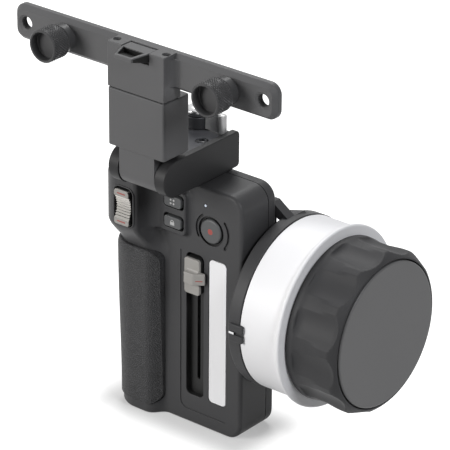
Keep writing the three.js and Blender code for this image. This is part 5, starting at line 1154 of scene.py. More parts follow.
class CONTROLLER_OT_back(Operator):
    """Builds the rear shell, the battery door and the fixing screws"""
    bl_idname = "controller.back"
    bl_label = "Back"

    def execute(self, context):
        p = BodyPlaces()
        b = p.body
        bosses, holes = [], []
        for name, node, count, head, start in (
                ("shell_screw_", "housing_screw_", 4, 1.5, p.seam - OVERRUN),
                ("cup_screw_", "bracket_screw_", 2, 1.8, p.seam + b.seam)):
            for i in range(1, count + 1):
                box = Box(node + str(i))
                centre = box.along("y")
                holes.append(rod("y", centre, b.screw_hole, start, p.back + OVERRUN, 0.0, 24))
                if name == "shell_screw_":
                    bosses.append(rod("y", centre, b.screw_boss, p.seam + b.seam / 2,
                                      p.back - b.edge))
                    holes.append(opening("y", circle(*centre, b.screw_sink), p.back, 2.1, 0.2, -1))
                screw = socket_screw(centre, box.low.y, box.high.y, box.high.y - head,
                                     b.screw_shank, b.screw_head)
                add_piece(name + str(i), screw, "hand_unit", node + str(i))
        door = Box("battery_door")
        holes.append(opening("y", door.face(b.door_corner, SEAT), p.back, b.rear_depth, 0.25, -1))
        rear = cut(body_form(p), block((-FAR, -FAR, -FAR), (FAR, p.seam + b.seam / 2, FAR)),
                   inside(p, p.back - b.wall))
        rear = cut(join(rear, seam_lip(p), *bosses), *holes)
        add_piece("rear_shell", rear, "hand_unit", "rear_housing")
        add_piece("power_door", self.power_door(p, door), "hand_unit", "battery_door")
        return {"FINISHED"}

    def power_door(self, p, box):
        b, x, top = p.body, box.x, box.high.z
        half_tongue, half_ridge = 3, 6
        panel = plate("y", box.face(b.door_corner), p.back, p.back - b.door, 0.35)
        tongue = block((x - half_tongue, box.low.y, top - 6.0),
                       (x + half_tongue, p.back - 1.0, top - 2.4))
        scoop = turned("z", (x, p.back + 6.3), [
            (radius, top - down) for radius, down in
            ((0.0, 14.0), (6.4, 13.0), (7.0, 11.0), (7.0, 7.0), (6.4, 5.0), (0.0, 4.0))], 64)
        ridges = [rod("x", (p.back + 0.15, top - 20.0 - b.ridge_pitch * i), 0.35,
                      x - half_ridge, x + half_ridge, 0.2, 12) for i in range(b.ridges)]
        return cut(cut(join(panel, tongue), scoop), *ridges)


# Controls on the front


def marked(name, value, marks, print_and_shade_colour, roughness=0.45, side=None, ribs=None, specular=0.4):
    """Moulding with printed marks and painted shade.

    A mark is a function of x, y and z that gives a mask: a print, or painted shade in a recess. The side
    is a colour and its mask, and the ribs are the ends of a dish and their number, whose ribs get a
    painted highlight and painted shade."""
    f, fine, _, tone = grained(name, value)
    x, y, z = (f.part(axis) * (1 / MM) for axis in range(3))
    if ribs:
        # Painted highlight and painted shade: one half of each rib's pitch is lightened and the other
        # darkened, as light and shade on the ribs
        base, top, count = ribs
        wave = f.math("FRACT", (z - base) * (count / (top - base)))
        within = (z > base) * (z < top)
        tone = f.mix(within * (wave < 0.5), tone, shade(value, 1.9))
        tone = f.mix(within * (wave > 0.5), tone, shade(value, 0.12))
    if side:
        side_colour, side_mask = side
        tone = f.mix(side_mask(x, y, z), tone, side_colour)
    # Each mask is a print, or painted shade in a recess
    for mark in marks:
        tone = f.mix(mark(x, y, z), tone, print_and_shade_colour)
    return f.close(tone, roughness=roughness, specular_ior_level=specular,
                   normal=f.bump(fine, 0.03 * MM))


def field_mark(x0, z0, width, height, y0, behind=False):
    """Field seen from the front, printed before the plane at y0, or painted shade behind it"""
    def mask(x, y, z):
        field = (abs(x - x0) < width / 2) * (abs(z - z0) < height / 2)
        return field * (y > y0 if behind else y < y0)
    return mask


def dot_mark(x0, z0, radius, front, inner=None):
    """Printed dot, or a ring where it has an inner radius, in front of a plane"""
    def mask(x, y, z):
        across, up = x - x0, z - z0
        far = across * across + up * up
        dot = (far < radius * radius) * (y < front)
        return dot * (far > inner * inner) if inner else dot
    return mask


class CONTROLLER_OT_rocker(Operator):
    """Builds the zoom rocker with its ribbed dish"""
    bl_idname = "controller.rocker"
    bl_label = "Zoom rocker"

    def execute(self, context):
        p = BodyPlaces()
        c = p.controls
        x, z = p.rocker
        wide = c.rocker_width / 2
        half = c.slot_height / 2 - c.rocker_gap
        inner = half - c.rocker_pad
        front = p.nose_front - c.rocker_proud
        back = front + c.rocker_depth
        body = prism("x", self.side(p, front, back, half, inner), x - wide - 1, x + wide + 1)
        plan = plate("y", round_corners(x, z, c.rocker_width, 2 * half, 1.6), front - OVERRUN,
                     back + OVERRUN)
        lug = rod("x", (p.pin_y, z), 2.0, x - wide, x + wide)
        stem = rod("y", p.rocker, c.rocker_stem, back - c.rocker_dish,
                   Box("zoom_rocker").high.y, 0.0, 16)
        bore = rod("x", (p.pin_y, z), 1 + PLAY, x - 2 * wide, x + 2 * wide, 0.0, 24)
        colours = context.scene.controller_finishes

        def flanks(px, py, pz):
            return ((px > x + wide - 0.2) + (abs(pz - z) > half - 0.3)) * (py > front + 0.5)

        lines = [field_mark(x, z + side * (half - 1.9), 4.6, 0.6, front + 0.6) for side in (-1, 1)]
        # The dish's ribs carry a painted highlight and painted shade besides their relief
        add_piece("rocker_cap", cut(join(limit(body, plan), lug, stem), bore), "rocker",
                  "zoom_rocker", sharp=62.0, bevel=0.25, material=marked(
                      "rocker_grey", colours.control, lines, colours.red, 0.42,
                      (colours.dark_side, flanks), (z - inner, z + inner, c.ribs)))
        pin = Box("rocker_pin")
        axle = rod("x", (p.pin_y, z), pin.tall / 2, pin.low.x, p.nose_right - 0.8, 0.2, 24)
        add_piece("rocker_axle", axle, "hand_unit", "rocker_pin")
        return {"FINISHED"}

    def side(self, p, front, back, half, inner):
        """Side view: two pads with the dish and its ribs between them"""
        c, z = p.controls, p.rocker[1]
        nose, shoulder = c.rocker_nose, back - c.rocker_dish
        points = [(back, z - inner), (shoulder, z - half), (front + nose, z - half)]
        points += arc(front + nose, z - half + nose, nose, 270, 180, 5)[1:]
        count = 6 * c.ribs
        for i in range(count + 1):
            t = i / count
            sink = 4 * t * (1 - t) * c.rocker_dish
            if 0 < i < count:
                sink += c.rib_height / 4
                sink += c.rib_height / 2 * (1 - math.cos(2 * math.pi * c.ribs * t))
            points.append((front + sink, z - inner + 2 * inner * t))
        points += arc(front + nose, z + half - nose, nose, 180, 90, 5)[:-1]
        return points + [(front + nose, z + half), (shoulder, z + half), (back, z + inner)]


class CONTROLLER_OT_keys(Operator):
    """Builds the two keys on the island and the round record key"""
    bl_idname = "controller.keys"
    bl_label = "Keys"

    def execute(self, context):
        p = BodyPlaces()
        c = p.controls
        colours = context.scene.controller_finishes
        flange = p.panel + p.body.wall + 0.4
        front = p.island_front - c.key_proud
        print_front = front + 0.2
        x, step = p.key_x, 0.85
        grid = [dot_mark(x + i * step, p.upper_z + j * step, 0.48, print_front)
                for i in (-1, 1) for j in (-1, 1)]
        lock = [field_mark(x, p.lower_z - 0.55, 2.4, 1.5, print_front),
                dot_mark(x, p.lower_z + 0.25, 0.95, print_front, 0.6)]
        for name, node, z, body, marks in (
                ("upper_key", "multi_button", p.upper_z, "multi_key", grid),
                ("lower_key", "lock_button", p.lower_z, "lock_key", lock)):
            cap = plate("y", round_corners(x, z, c.key_width, c.key_height, c.key_corner), front,
                        flange + 1.0, 0.45)
            skirt = plate("y", round_corners(
                x, z, c.key_width + 2 * c.key_skirt, c.key_height + 2 * c.key_skirt,
                c.key_corner + c.key_skirt), flange, flange + 1.0)
            stem = rod("y", (x, z), c.key_stem, flange + 0.5, Box("multi_button").high.y, 0.0, 16)
            add_piece(name, join(cap, skirt, stem), body, node,
                      material=marked(name + "_face", colours.key, marks, colours.mark))
        radius, edge, thick = c.record_radius, 1.0, 0.5
        front = p.panel - 0.5
        deep = Box("record_button").high.y
        profile = [(0.0, front)] + arc(radius - edge, front + edge, edge, -90, 0, 5)
        profile += [(radius, flange), (radius + c.key_skirt, flange),
                    (radius + c.key_skirt, flange + thick), (c.key_stem, flange + thick),
                    (c.key_stem, deep), (0.0, deep)]
        add_piece("round_key", turned("y", p.record, profile, 72), "record_key", "record_button",
                  material=marked("round_key_face", colours.key,
                                  [dot_mark(*p.record, 1.35, front + 0.2)], colours.red))
        return {"FINISHED"}


class CONTROLLER_OT_slider(Operator):
    """Builds the iris slider, the white strip beside it and the status light"""
    bl_idname = "controller.slider"
    bl_label = "Slider and strip"

    def execute(self, context):
        p = BodyPlaces()
        c = p.controls
        colours = context.scene.controller_finishes
        box = Box("iris_slider")
        x, z = p.channel_x, Box("slider_carriage").z
        base = p.panel + c.channel_depth - 0.4
        pad = p.panel - c.pad_proud
        pads = plate("y", round_corners(x, z, c.pad_width, box.tall, 1.3), pad, base, 0.35)
        half = c.grip_height / 2
        left = x - c.pad_width / 2 + c.grip_inset
        right = left + c.grip_width
        grip = soften(prism("z", self.plan(p, left, right), z - half, z + half), 0.4, 50.0)
        fillet, under = 1.2, 0.6
        sides = []
        for side in (-1, 1):
            shape = [(pad + under, z + side * (half + fillet))]
            shape += arc(pad - fillet, z + side * (half + fillet), fillet, 0, -90 * side, 6)
            shape += [(pad - fillet, z + side * (half - under)),
                      (pad + under, z + side * (half - under))]
            sides.append(prism("x", shape, left + 0.2, x + c.pad_width / 2 - 0.4))
        stem = block((x - 0.55, base - 0.4, z - 2.2), (x + 0.55, box.high.y, z + 2.2))
        line = [field_mark(right + 2.2, z - 0.6, 2.6, 0.42, p.panel)]
        side = (colours.dark_side, lambda px, py, pz: py > pad + c.pad_cap)
        add_piece("slider_knob", join(pads, grip, *sides, stem), "slider", "iris_slider",
                  material=marked("slider_grey", colours.control, line, colours.red, 0.42, side))
        strip = plate("y", p.strip.face(c.strip_corner), p.panel, p.panel + c.strip, 0.25)
        add_piece("white_strip", strip, "hand_unit", "marking_strip")
        deep = Box("status_light").high.y - p.panel
        profile = [(radius, p.panel + back) for radius, back in (
            (0.0, -0.05), (0.35, 0.0), (c.light, 0.15), (c.light, 2.7), (2 * c.light, 2.7),
            (2 * c.light, deep), (0.0, deep))]
        add_piece("lens", turned("y", p.light, profile, 24), "hand_unit", "status_light")
        return {"FINISHED"}

    def plan(self, p, left, right):
        """Plan of the slider's grip, which falls to a wedge on its right"""
        c, edge = p.controls, 0.6
        top, foot = p.panel - c.grip_proud, p.panel - 0.4
        end, wedge = right + c.wedge_reach, p.panel - c.wedge_proud
        points = [(left, foot)] + arc(left + edge, top + edge, edge, 180, 270, 4)
        points += [(right - 0.5, top), (right, top + 0.12), (right + 0.45, top + 0.42)]
        return points + [(end - 0.3, wedge - 0.2), (end, wedge + 0.1), (end, foot)]


# Focus wheel unit


class WheelPlaces:
    """Places of the focus wheel unit, in millimetres"""

    def __init__(self):
        self.sizes = Millimetres("wheel")
        ring, wheel, cap = Box("marking_ring"), Box("focus_wheel"), Box("wheel_cap")
        self.axis = ring.along("x")
        self.drum, self.flange_end = ring.low.x, ring.high.x
        self.wheel, self.wheel_end = wheel.low.x, wheel.high.x
        self.cap_back, self.cap_front = cap.low.x, cap.high.x
        self.rim = self.drum - SEAT
        self.shroud = self.rim - self.sizes.shroud_depth
        self.inner = self.sizes.drum - self.sizes.drum_wall


class CONTROLLER_OT_wheel(Operator):
    """Builds the white ring, the fluted wheel and its cap"""
    bl_idname = "controller.wheel"
    bl_label = "Focus wheel"

    def execute(self, context):
        p = WheelPlaces()
        w = p.sizes
        sweep = p.drum + w.drum_length
        flange = p.flange_end - w.flange_thickness
        lip, edge = w.flange_thickness / 2, 0.3
        profile = [(p.inner, p.drum), (w.drum - edge, p.drum), (w.drum, p.drum + edge),
                   (w.drum, sweep - 6)]
        profile += curve([(w.drum, sweep), (w.drum, sweep + w.flange_sweep * 0.6),
                          (w.drum + 0.2, flange), (w.flange - lip, flange)], 8)
        profile += arc(w.flange - lip, flange + lip, lip, -90, 90, 8)[1:]
        profile += [(w.flange_hole, p.flange_end), (w.flange_hole, flange),
                    (p.inner, flange - w.flange_thickness)]
        add_piece("white_drum", turned("x", p.axis, profile, w.steps), "wheel", "marking_ring")
        add_piece("fluted_wheel", self.fluted_wheel(p), "wheel", "focus_wheel",
                  sharp=17.0, bevel=0.22)
        edge = w.cap_edge
        profile = [(0.0, p.cap_back), (w.cap, p.cap_back)]
        profile += arc(w.cap - edge, p.cap_front - edge, edge, 0, 90, 5)
        profile += [(w.cap - 2 * edge, p.cap_front), (0.0, p.cap_front)]
        cap_colour = context.scene.controller_finishes.cap
        add_piece("round_cap", turned("x", p.axis, profile, w.steps), "wheel", "wheel_cap",
                  material=moulded("cap_plastic", cap_colour, 0.42, 0.2, 0.02, 0.45))
        return {"FINISHED"}

    def profile(self, p, begin, waist):
        """Half section of the wheel: web, outside with its waist, seat of the cap and hub"""
        w = p.sizes
        start, end = p.wheel, p.wheel_end
        web, seat = start + 3.1, p.cap_back - SEAT
        slope = end - w.front_slope
        wall, shallow = w.radius - 5.2, w.radius - 0.1
        edge, hub_end, floor = 0.9, web + 12, web + 4
        outer = [(w.radius - edge, start), (w.radius - 0.26, start + 0.26), (w.radius, start + edge),
                 (shallow, begin - 0.8)]
        outer += [(shallow - (w.waist - 0.1) * ease((t + 0.8) / 4.0), begin + t)
                  for t in (0.0, 0.35, 0.8, 1.4, 2.2, 3.2, 4.4, 5.8, 8.5)]
        outer += [(waist + (w.radius - waist) * ease((t - 10.0) / 10.0), start + t)
                  for t in (13, 15, 16.5, 18, 19.3)]
        outer.append((w.radius, slope))
        outer += [(w.front + (w.radius - w.front) * (1 - (i / 8) ** 1.4),
                   slope + w.front_slope * i / 8) for i in range(1, 9)]
        rim, step = w.cap + w.cap_groove, w.cap - 3
        return [(w.hub_bore, web), (wall, web), (wall, start)] + outer + [
            (rim, end), (rim, seat), (step, seat), (step, floor), (w.hub, floor), (w.hub, hub_end),
            (w.hub_bore, hub_end)]

    def fluted_wheel(self, p):
        """Wheel whose outside is pushed in to the flutes, with rounded ends"""
        w = p.sizes
        begin, waist = p.wheel + w.flute_start, w.radius - w.waist
        bm = turned("x", p.axis, self.profile(p, begin, waist), w.steps, math.radians(-0.5))
        pitch = 2 * math.pi / w.flutes
        half = pitch / 2 * w.flute_share
        middle = waist * math.cos(half) + math.sqrt(w.flute_radius ** 2 - (waist * math.sin(half)) ** 2)
        y0, z0 = p.axis
        for vert in bm.verts:
            across, up = vert.co.y - y0, vert.co.z - z0
            radius = math.hypot(across, up)
            if vert.co.x < begin - 0.01 or radius < w.cap + w.cap_groove + 0.5:
                continue
            angle = (math.atan2(up, -across) - w.first_flute) / pitch
            away = (angle - round(angle)) * pitch
            lead = max(0.0, 1 - (vert.co.x - begin) / w.flute_lead,
                       (vert.co.x - (p.wheel_end - w.front_slope - 1.0)) / w.flute_lead)
            hollow = w.flute_radius - 1.9 * (1 - math.sqrt(1 - min(1.0, lead) ** 2))
            aside = middle * math.sin(away)
            if abs(aside) < hollow:
                floor = middle * math.cos(away) - math.sqrt(hollow ** 2 - aside ** 2)
                if floor < radius:
                    vert.co.y, vert.co.z = y0 + across * floor / radius, z0 + up * floor / radius
        return bm


class CONTROLLER_OT_shroud(Operator):
    """Builds the cup behind the drum with its arm, and the index block"""
    bl_idname = "controller.shroud"
    bl_label = "Cup and index"

    def execute(self, context):
        p, q = WheelPlaces(), BodyPlaces()
        w = p.sizes
        axis_y, axis_z = p.axis
        back = p.shroud
        floor = back + w.shroud_wall
        sleeve_end, edge = floor + w.sleeve, w.shroud_edge
        profile = [(0.0, back)] + arc(w.shroud - edge, back + edge, edge, -90, 0, 4)
        profile += [(w.shroud, p.rim - 0.2), (w.shroud - 0.2, p.rim), (p.inner, p.rim),
                    (p.inner, floor), (w.sleeve_radius, floor), (w.sleeve_radius, sleeve_end),
                    (w.sleeve_bore, sleeve_end), (w.sleeve_bore, floor), (0.0, floor)]
        cup = turned("x", p.axis, profile, w.steps)
        pedestal = rod("x", (axis_y, Box("encoder_gear").z), 8.2, back + 1.2,
                       Box("encoder_body").low.x - 0.4)
        inset, tall = 4.8, 20
        boss = block((q.right + SEAT, q.panel + inset, axis_z - tall),
                     (back + 1.25, q.back - inset, axis_z + tall))
        arm_back = q.back + SEAT
        arm = self.arm(p, q, arm_back)
        mark = Box("index_mark")
        left, front = mark.low.x - 0.4, mark.low.y + 0.25
        index = plate("y", round_corners(left + w.index_width / 2, axis_z, w.index_width,
                                         w.index_height, 0.8), front, axis_y - p.inner - 1.25, 0.4)
        drum_room = rod("x", p.axis, w.drum + SEAT, p.rim + 0.15, left + 12.0, 0.0, w.steps)
        slot = block((left - 5, front - OVERRUN, axis_z - 0.8),
                     (left + 12, front + 0.85, axis_z + 0.8))
        holes = [rod("y", Box("bracket_screw_%d" % i).along("y"), q.body.screw_hole,
                     q.back - OVERRUN, arm_back + 8.0, 0.0, 24) for i in (1, 2)]
        index = cut(index, self.hollow(p), drum_room)
        add_piece("drum_cup", cut(join(cup, pedestal, boss, arm, index), slot, *holes), "hand_unit",
                  "knob_shroud")
        return {"FINISHED"}

    def hollow(self, p):
        return rod("x", p.axis, p.inner, p.shroud + p.sizes.shroud_wall, p.rim + OVERRUN, 0.0,
                   p.sizes.steps)

    def arm(self, p, q, back):
        """Plate and gusset behind the body that carry the cup"""
        w = p.sizes
        slope = q.body.height - 10.2
        top = p.axis[1] + w.shroud
        inner, root = q.right - 2.4, q.right - 16
        crest = [(p.rim, top - w.shroud_wall), (p.shroud + 3.35, top)]
        arm = prism("y", [(root, slope - 46), (p.rim, slope - 46)] + crest + [
            (inner, slope), (root, slope)], back, back + 5.0)
        gusset = prism("y", [(inner, p.axis[1]), (p.rim, p.axis[1])] + crest + [
            (inner, slope - 8)], back, back + 12.0)
        notch = prism("y", [(q.right - 4, slope - 5.75), (q.right + 3.1, slope - 8),
                            (q.right - 4, slope - 17)], back - OVERRUN, back + 8.0)
        return cut(join(arm, gusset), notch, self.hollow(p))


# Arm, tilting block and bar


class MountPlaces:
    """Places of the arm and of what it carries, in millimetres"""

    def __init__(self):
        self.sizes = Millimetres("mount")
        arm, pin = Box("hinge_arm"), Box("hinge_pin")
        self.left, self.right, self.middle = arm.low.x, arm.high.x, arm.x
        self.front, self.rear, self.top = arm.low.y, arm.high.y, arm.high.z
        self.hinge = pin.along("x")
        self.radius = pin.y - self.front
        self.base = self.top - 2 * self.radius
        self.block, self.bar = Box("tilt_block"), Box("monitor_bar")
        self.block_base = self.top + self.sizes.block_rise
        self.block_front = self.block.high.y - self.sizes.block_depth
        self.bar_rear = self.bar.high.y
        self.bar_front = self.bar_rear - self.sizes.bar_depth
        self.bar_z = self.bar.high.z - self.sizes.bar_height / 2
        self.screw = Box("plate_screw").along("z")
        self.post = Box("lock_post").along("z")

    def bolt_holes(self):
        """Cutters with a small gap round the bar's bolts"""
        return [rod("z", bolt.along("z"), self.sizes.bolt_hole, bolt.low.z - SEAT,
                    bolt.high.z + SEAT, 0.0, 24) for bolt in (Box("bar_bolt_1"), Box("bar_bolt_2"))]


class CONTROLLER_OT_arm(Operator):
    """Builds the hinge arm, its pin, the deck plate and its screw"""
    bl_idname = "controller.arm"
    bl_label = "Hinge arm"

    def execute(self, context):
        p = MountPlaces()
        m = p.sizes
        colours = context.scene.controller_finishes
        add_piece("deck_arm", self.arm(p), "hand_unit", "hinge_arm", bevel=0.25,
                  sharp=40.0, material=dressed_metal("arm_black", colours.arm, 0.45))
        box = Box("hinge_pin")
        pin = rod("x", p.hinge, m.pin_radius, box.low.x, box.high.x, 0.3)
        socket = plate("x", circle(*p.hinge, 1.38, 6), box.low.x - OVERRUN, box.low.x + 1.2)
        add_piece("pivot_pin", cut(pin, socket), "hand_unit", "hinge_pin")
        box = Box("mount_plate")
        low, top = box.low.z, box.high.z
        face = plate("z", round_corners(box.x, box.y, box.wide, box.deep, 0.6), top, low, 0.25)
        sink = opening("z", circle(*p.screw, 3.0), top, 1.2, 0.15, -1)
        hole = rod("z", p.screw, m.plate_hole, low - OVERRUN, top + OVERRUN, 0.0, 24)
        add_piece("deck_plate", cut(face, sink, hole), "hand_unit", "mount_plate",
                  material=dressed_metal("plate_steel", shade(colours.dark_steel, 2.6), 0.34))
        box = Box("plate_screw")
        screw = socket_screw(p.screw, box.low.z, box.high.z, box.high.z - 1.2, 1.6, 2.7, "z", True)
        add_piece("deck_screw", screw, "hand_unit", "plate_screw")
        return {"FINISHED"}

    def arm(self, p):
        m, q = p.sizes, BodyPlaces()
        y, z = p.hinge
        turn = m.arm_rear
        rear = p.rear - turn

        def side(by=0.0):
            made = arc(y, z, p.radius + by, 90, 270, 24)
            made += arc(rear, p.base + turn, turn + by, -90, 0, 6)
            return made + arc(rear, p.top - turn, turn + by, 0, 90, 6)

        body = plate("x", side, p.left, p.right, m.arm_edge, m.arm_edge, 3)
        inset, wall = 2.2, m.deck_wall
        foot = block((p.left + inset, q.panel + 3.6, q.body.height + SEAT),
                     (p.right - inset, min(p.rear - inset, q.back - 1.8), p.base + 0.6))
        slot_rear = y + p.radius + 0.5
        floor, ceiling = p.top - m.pocket, p.top + OVERRUN
        cutters = [
            block((p.left + m.ear, p.front - OVERRUN, p.base - OVERRUN),
                  (p.right - m.ear, slot_rear, ceiling)),
            block((p.left + wall, slot_rear + wall, floor), (p.right - wall, p.rear - 1.2, ceiling)),
            block((p.left + wall, slot_rear - OVERRUN, floor + m.deck),
                  (p.right - wall, p.rear + OVERRUN, ceiling)),
            rod("x", p.hinge, m.pin_radius + SEAT, p.left - OVERRUN, p.right - m.pin_cover),
            rod("z", p.screw, m.plate_hole, floor - 4.4, p.top, 0.0, 24),
        ]
        return cut(join(body, foot), *cutters)


class CONTROLLER_OT_lock(Operator):
    """Builds the lock post and the lever that swings round it"""
    bl_idname = "controller.lock"
    bl_label = "Lock post and lever"

    def execute(self, context):
        p = MountPlaces()
        box = Box("clamp_lever")
        hub_top = box.low.z + p.sizes.hub_height
        colours = context.scene.controller_finishes
        self.add_post(p, hub_top, colours)
        self.add_lever(p, box, hub_top, colours)
        return {"FINISHED"}

    def add_post(self, p, hub_top, colours):
        """Post that is dark in the hub and bright from the dome up"""
        m, box = p.sizes, Box("lock_post")
        base, top = box.low.z, box.high.z
        shoulder = hub_top + 0.2
        dome, neck = shoulder + 2.0, top - 3.0
        profile = [(0.0, base), (m.post_radius, base), (m.post_radius, shoulder),
                   (m.post_dome, shoulder + 0.3), (m.post_dome, dome)]
        profile += domed(m.post_dome, dome, 2.1, range(11, 67, 11))
        profile += [(m.post_neck, dome + 2.1), (m.post_neck, neck),
                    (m.post_knob - 0.25, neck + 0.2), (m.post_knob, neck + 0.75),
                    (m.post_knob, neck + 2.1)]
        profile += domed(m.post_knob, neck + 2.1, 0.9, (22, 44, 66))
        f = Finish("two_tone_post")
        fine = f.noise(1 / (0.2 * MM))
        bright = f.part(2) > (shoulder + 1.6) * MM
        steel = f.mix(fine, shade(colours.steel, 0.92), shade(colours.steel, 1.05))
        metal = f.close(f.mix(bright, colours.dark_steel, steel), roughness=f.spread(fine, 0.22, 0.30),
                        metallic=bright)
        add_piece("post", turned("z", p.post, profile + [(0.0, top)], 48), "hand_unit",
                  "lock_post", material=metal)

    def add_lever(self, p, box, hub_top, colours):
        """Lever with a dark hub, a blade and a bead at its end"""
        m, (x, y) = p.sizes, p.post
        low, high = box.low.z, box.high.z
        bead_x, dome = box.high.x - m.bead, high - 0.8
        hub = rod("z", p.post, m.hub_radius, low, hub_top, 0.3, 48)
        blade = plate("z", round_corners((x + bead_x) / 2, y, bead_x - x, m.lever_thickness, 0.5),
                      low, high, 0.3, 0.3)
        profile = [(0.0, low), (m.bead - 0.3, low), (m.bead, low + 0.3), (m.bead, dome)]
        profile += domed(m.bead, dome, 0.8, (22, 44, 66)) + [(0.0, high)]
        bead = turned("z", (bead_x, y), profile, 32)
        bore = rod("z", p.post, m.post_radius + PLAY, low - OVERRUN, high + OVERRUN, 0.0, 48)
        dome_room = rod("z", p.post, m.post_dome + SEAT, hub_top, high + OVERRUN, 0.0, 48)
        f = Finish("lever_aluminium")
        fine = f.noise(1 / (0.2 * MM))
        across, along = f.part(0) - x * MM, f.part(1) - y * MM
        hub_dark = (across * across + along * along) < ((m.hub_radius + SEAT) * MM) ** 2
        tone = f.mix(fine, shade(colours.aluminium, 0.92), shade(colours.aluminium, 1.08))
        metal = f.close(f.mix(hub_dark, tone, colours.dark_steel), roughness=f.spread(fine, 0.34, 0.42),
                        metallic=0.4, normal=f.bump(fine, 0.012 * MM))
        add_piece("lever", cut(join(hub, blade, bead), bore, dome_room), "lever", "clamp_lever",
                  material=metal)


class CONTROLLER_OT_tilt_block(Operator):
    """Builds the tilting block with its leaf"""
    bl_idname = "controller.tilt_block"
    bl_label = "Tilting block"

    def execute(self, context):
        p = MountPlaces()
        m = p.sizes
        y, z = p.hinge
        radius, top, gap = p.radius - m.leaf_step, p.block_base + 1.4, m.ear + 0.45
        side = [(y + radius, top), (y - radius, top)] + arc(y, z, radius, 180, 360, 24)
        leaf = prism("x", side, p.left + gap, p.right - gap)
        plan = round_corners(p.middle, p.block_front + m.block_depth / 2, p.block.wide,
                             m.block_depth, m.block_corner)
        body = plate("z", plan, p.block_base, p.block.high.z, m.block_edge, m.block_edge)
        bore = rod("x", p.hinge, m.pin_radius + PLAY, p.left, p.right, 0.0, 48)
        add_piece("tilting_block", cut(join(leaf, body), bore, *p.bolt_holes()), "tilt_head",
                  "tilt_block")
        return {"FINISHED"}


class CONTROLLER_OT_bar(Operator):
    """Builds the monitor bar with its boss and threaded holes"""
    bl_idname = "controller.bar"
    bl_label = "Monitor bar"

    def execute(self, context):
        p = MountPlaces()
        m = p.sizes
        box, front, rear = p.bar, p.bar_front, p.bar_rear
        face = round_corners(box.x, p.bar_z, box.wide, m.bar_height, m.bar_corner, 10)
        slope = front + m.bar_chamfer
        plank = pile([lay("y", face(grown), at) for grown, at in (
            (-m.bar_chamfer, front), (-0.15, slope - 0.1), (0.0, slope + 0.2), (0.0, rear - 0.3),
            (-0.3, rear))])
        half = p.block.wide / 2
        left, right = p.middle - half, p.middle + half
        bar = join(plank, self.boss(p, left, right))
        cutters = [self.threaded_hole(p, hole) for hole in ("bar_hole_left", "bar_hole_right")]
        for node in ("thumb_screw_left", "thumb_screw_right"):
            cutters.append(rod("y", (Box(node).x, p.bar_z), m.thumb_shank + PLAY, front - OVERRUN,
                               rear + OVERRUN))
        for x in (left + 2.1, right - 2.1):
            cutters.append(opening("z", circle(x, p.block_front + 4.2, m.boss_hole), box.high.z, 9.0,
                                   0.15, -1))
        cutters += p.bolt_holes()
        tab, pin = Box("release_tab"), Box("tab_pin")
        cutters.append(block((tab.low.x - 0.4, p.block_front - OVERRUN, tab.low.z - 1.2),
                             (tab.high.x + 0.4, tab.high.y + 0.8, box.high.z + OVERRUN)))
        cutters.append(rod("x", pin.along("x"), 1.3, pin.low.x - SEAT, pin.high.x + SEAT, 0.0, 24))
        add_piece("bar_with_boss", cut(bar, *cutters), "tilt_head", "monitor_bar")
        return {"FINISHED"}

    def boss(self, p, left, right):
        """Boss in the middle of the bar, with a fillet on each side where the bar is flat"""
        m, box, front, rear = p.sizes, p.bar, p.bar_front, p.bar_rear
        fillet = m.boss_fillet
        plan = arc(left - fillet, front - fillet, fillet, 90, 0, 8)
        plan += [(left, p.block_front), (right, p.block_front)]
        plan += arc(right + fillet, front - fillet, fillet, 180, 90, 8)
        plan += [(right + fillet, rear), (left - fillet, rear)]
        flat = m.bar_height / 2 - m.bar_chamfer
        trims = [block((a, p.block_front - OVERRUN, low), (b, rear + 1, high))
                 for a, b in ((left - fillet - OVERRUN, left), (right, right + fillet + OVERRUN))
                 for low, high in ((box.low.z - OVERRUN, p.bar_z - flat),
                                   (p.bar_z + flat, box.high.z + OVERRUN))]
        return cut(soften(prism("z", plan, box.low.z, box.high.z), 0.45, 60.0), *trims)

    def threaded_hole(self, p, name):
        """Cutter for an end hole, with a ring for each turn of its thread"""
        m, front, rear = p.sizes, p.bar_front, p.bar_rear
        place = next(o for o in frame["record"]["physics"]["openings"] if o["name"] == name)
        x = (place["box_m"][0][0] + place["box_m"][1][0]) / 2 / MM
        radius = m.end_hole
        profile = [(0.0, front - OVERRUN), (radius + 0.8 + OVERRUN, front - OVERRUN),
                   (radius + 0.35, front + 0.45)]
        y, i = front + 0.6, 0
        while y < rear - 0.4:
            profile.append((radius - (m.thread if i % 2 else 0.0), y))
            y += m.pitch / 2
            i += 1
        profile += [(radius + 0.2, rear), (radius + 0.2, rear + OVERRUN), (0.0, rear + OVERRUN)]
        return turned("y", (x, p.bar_z), profile, 48)


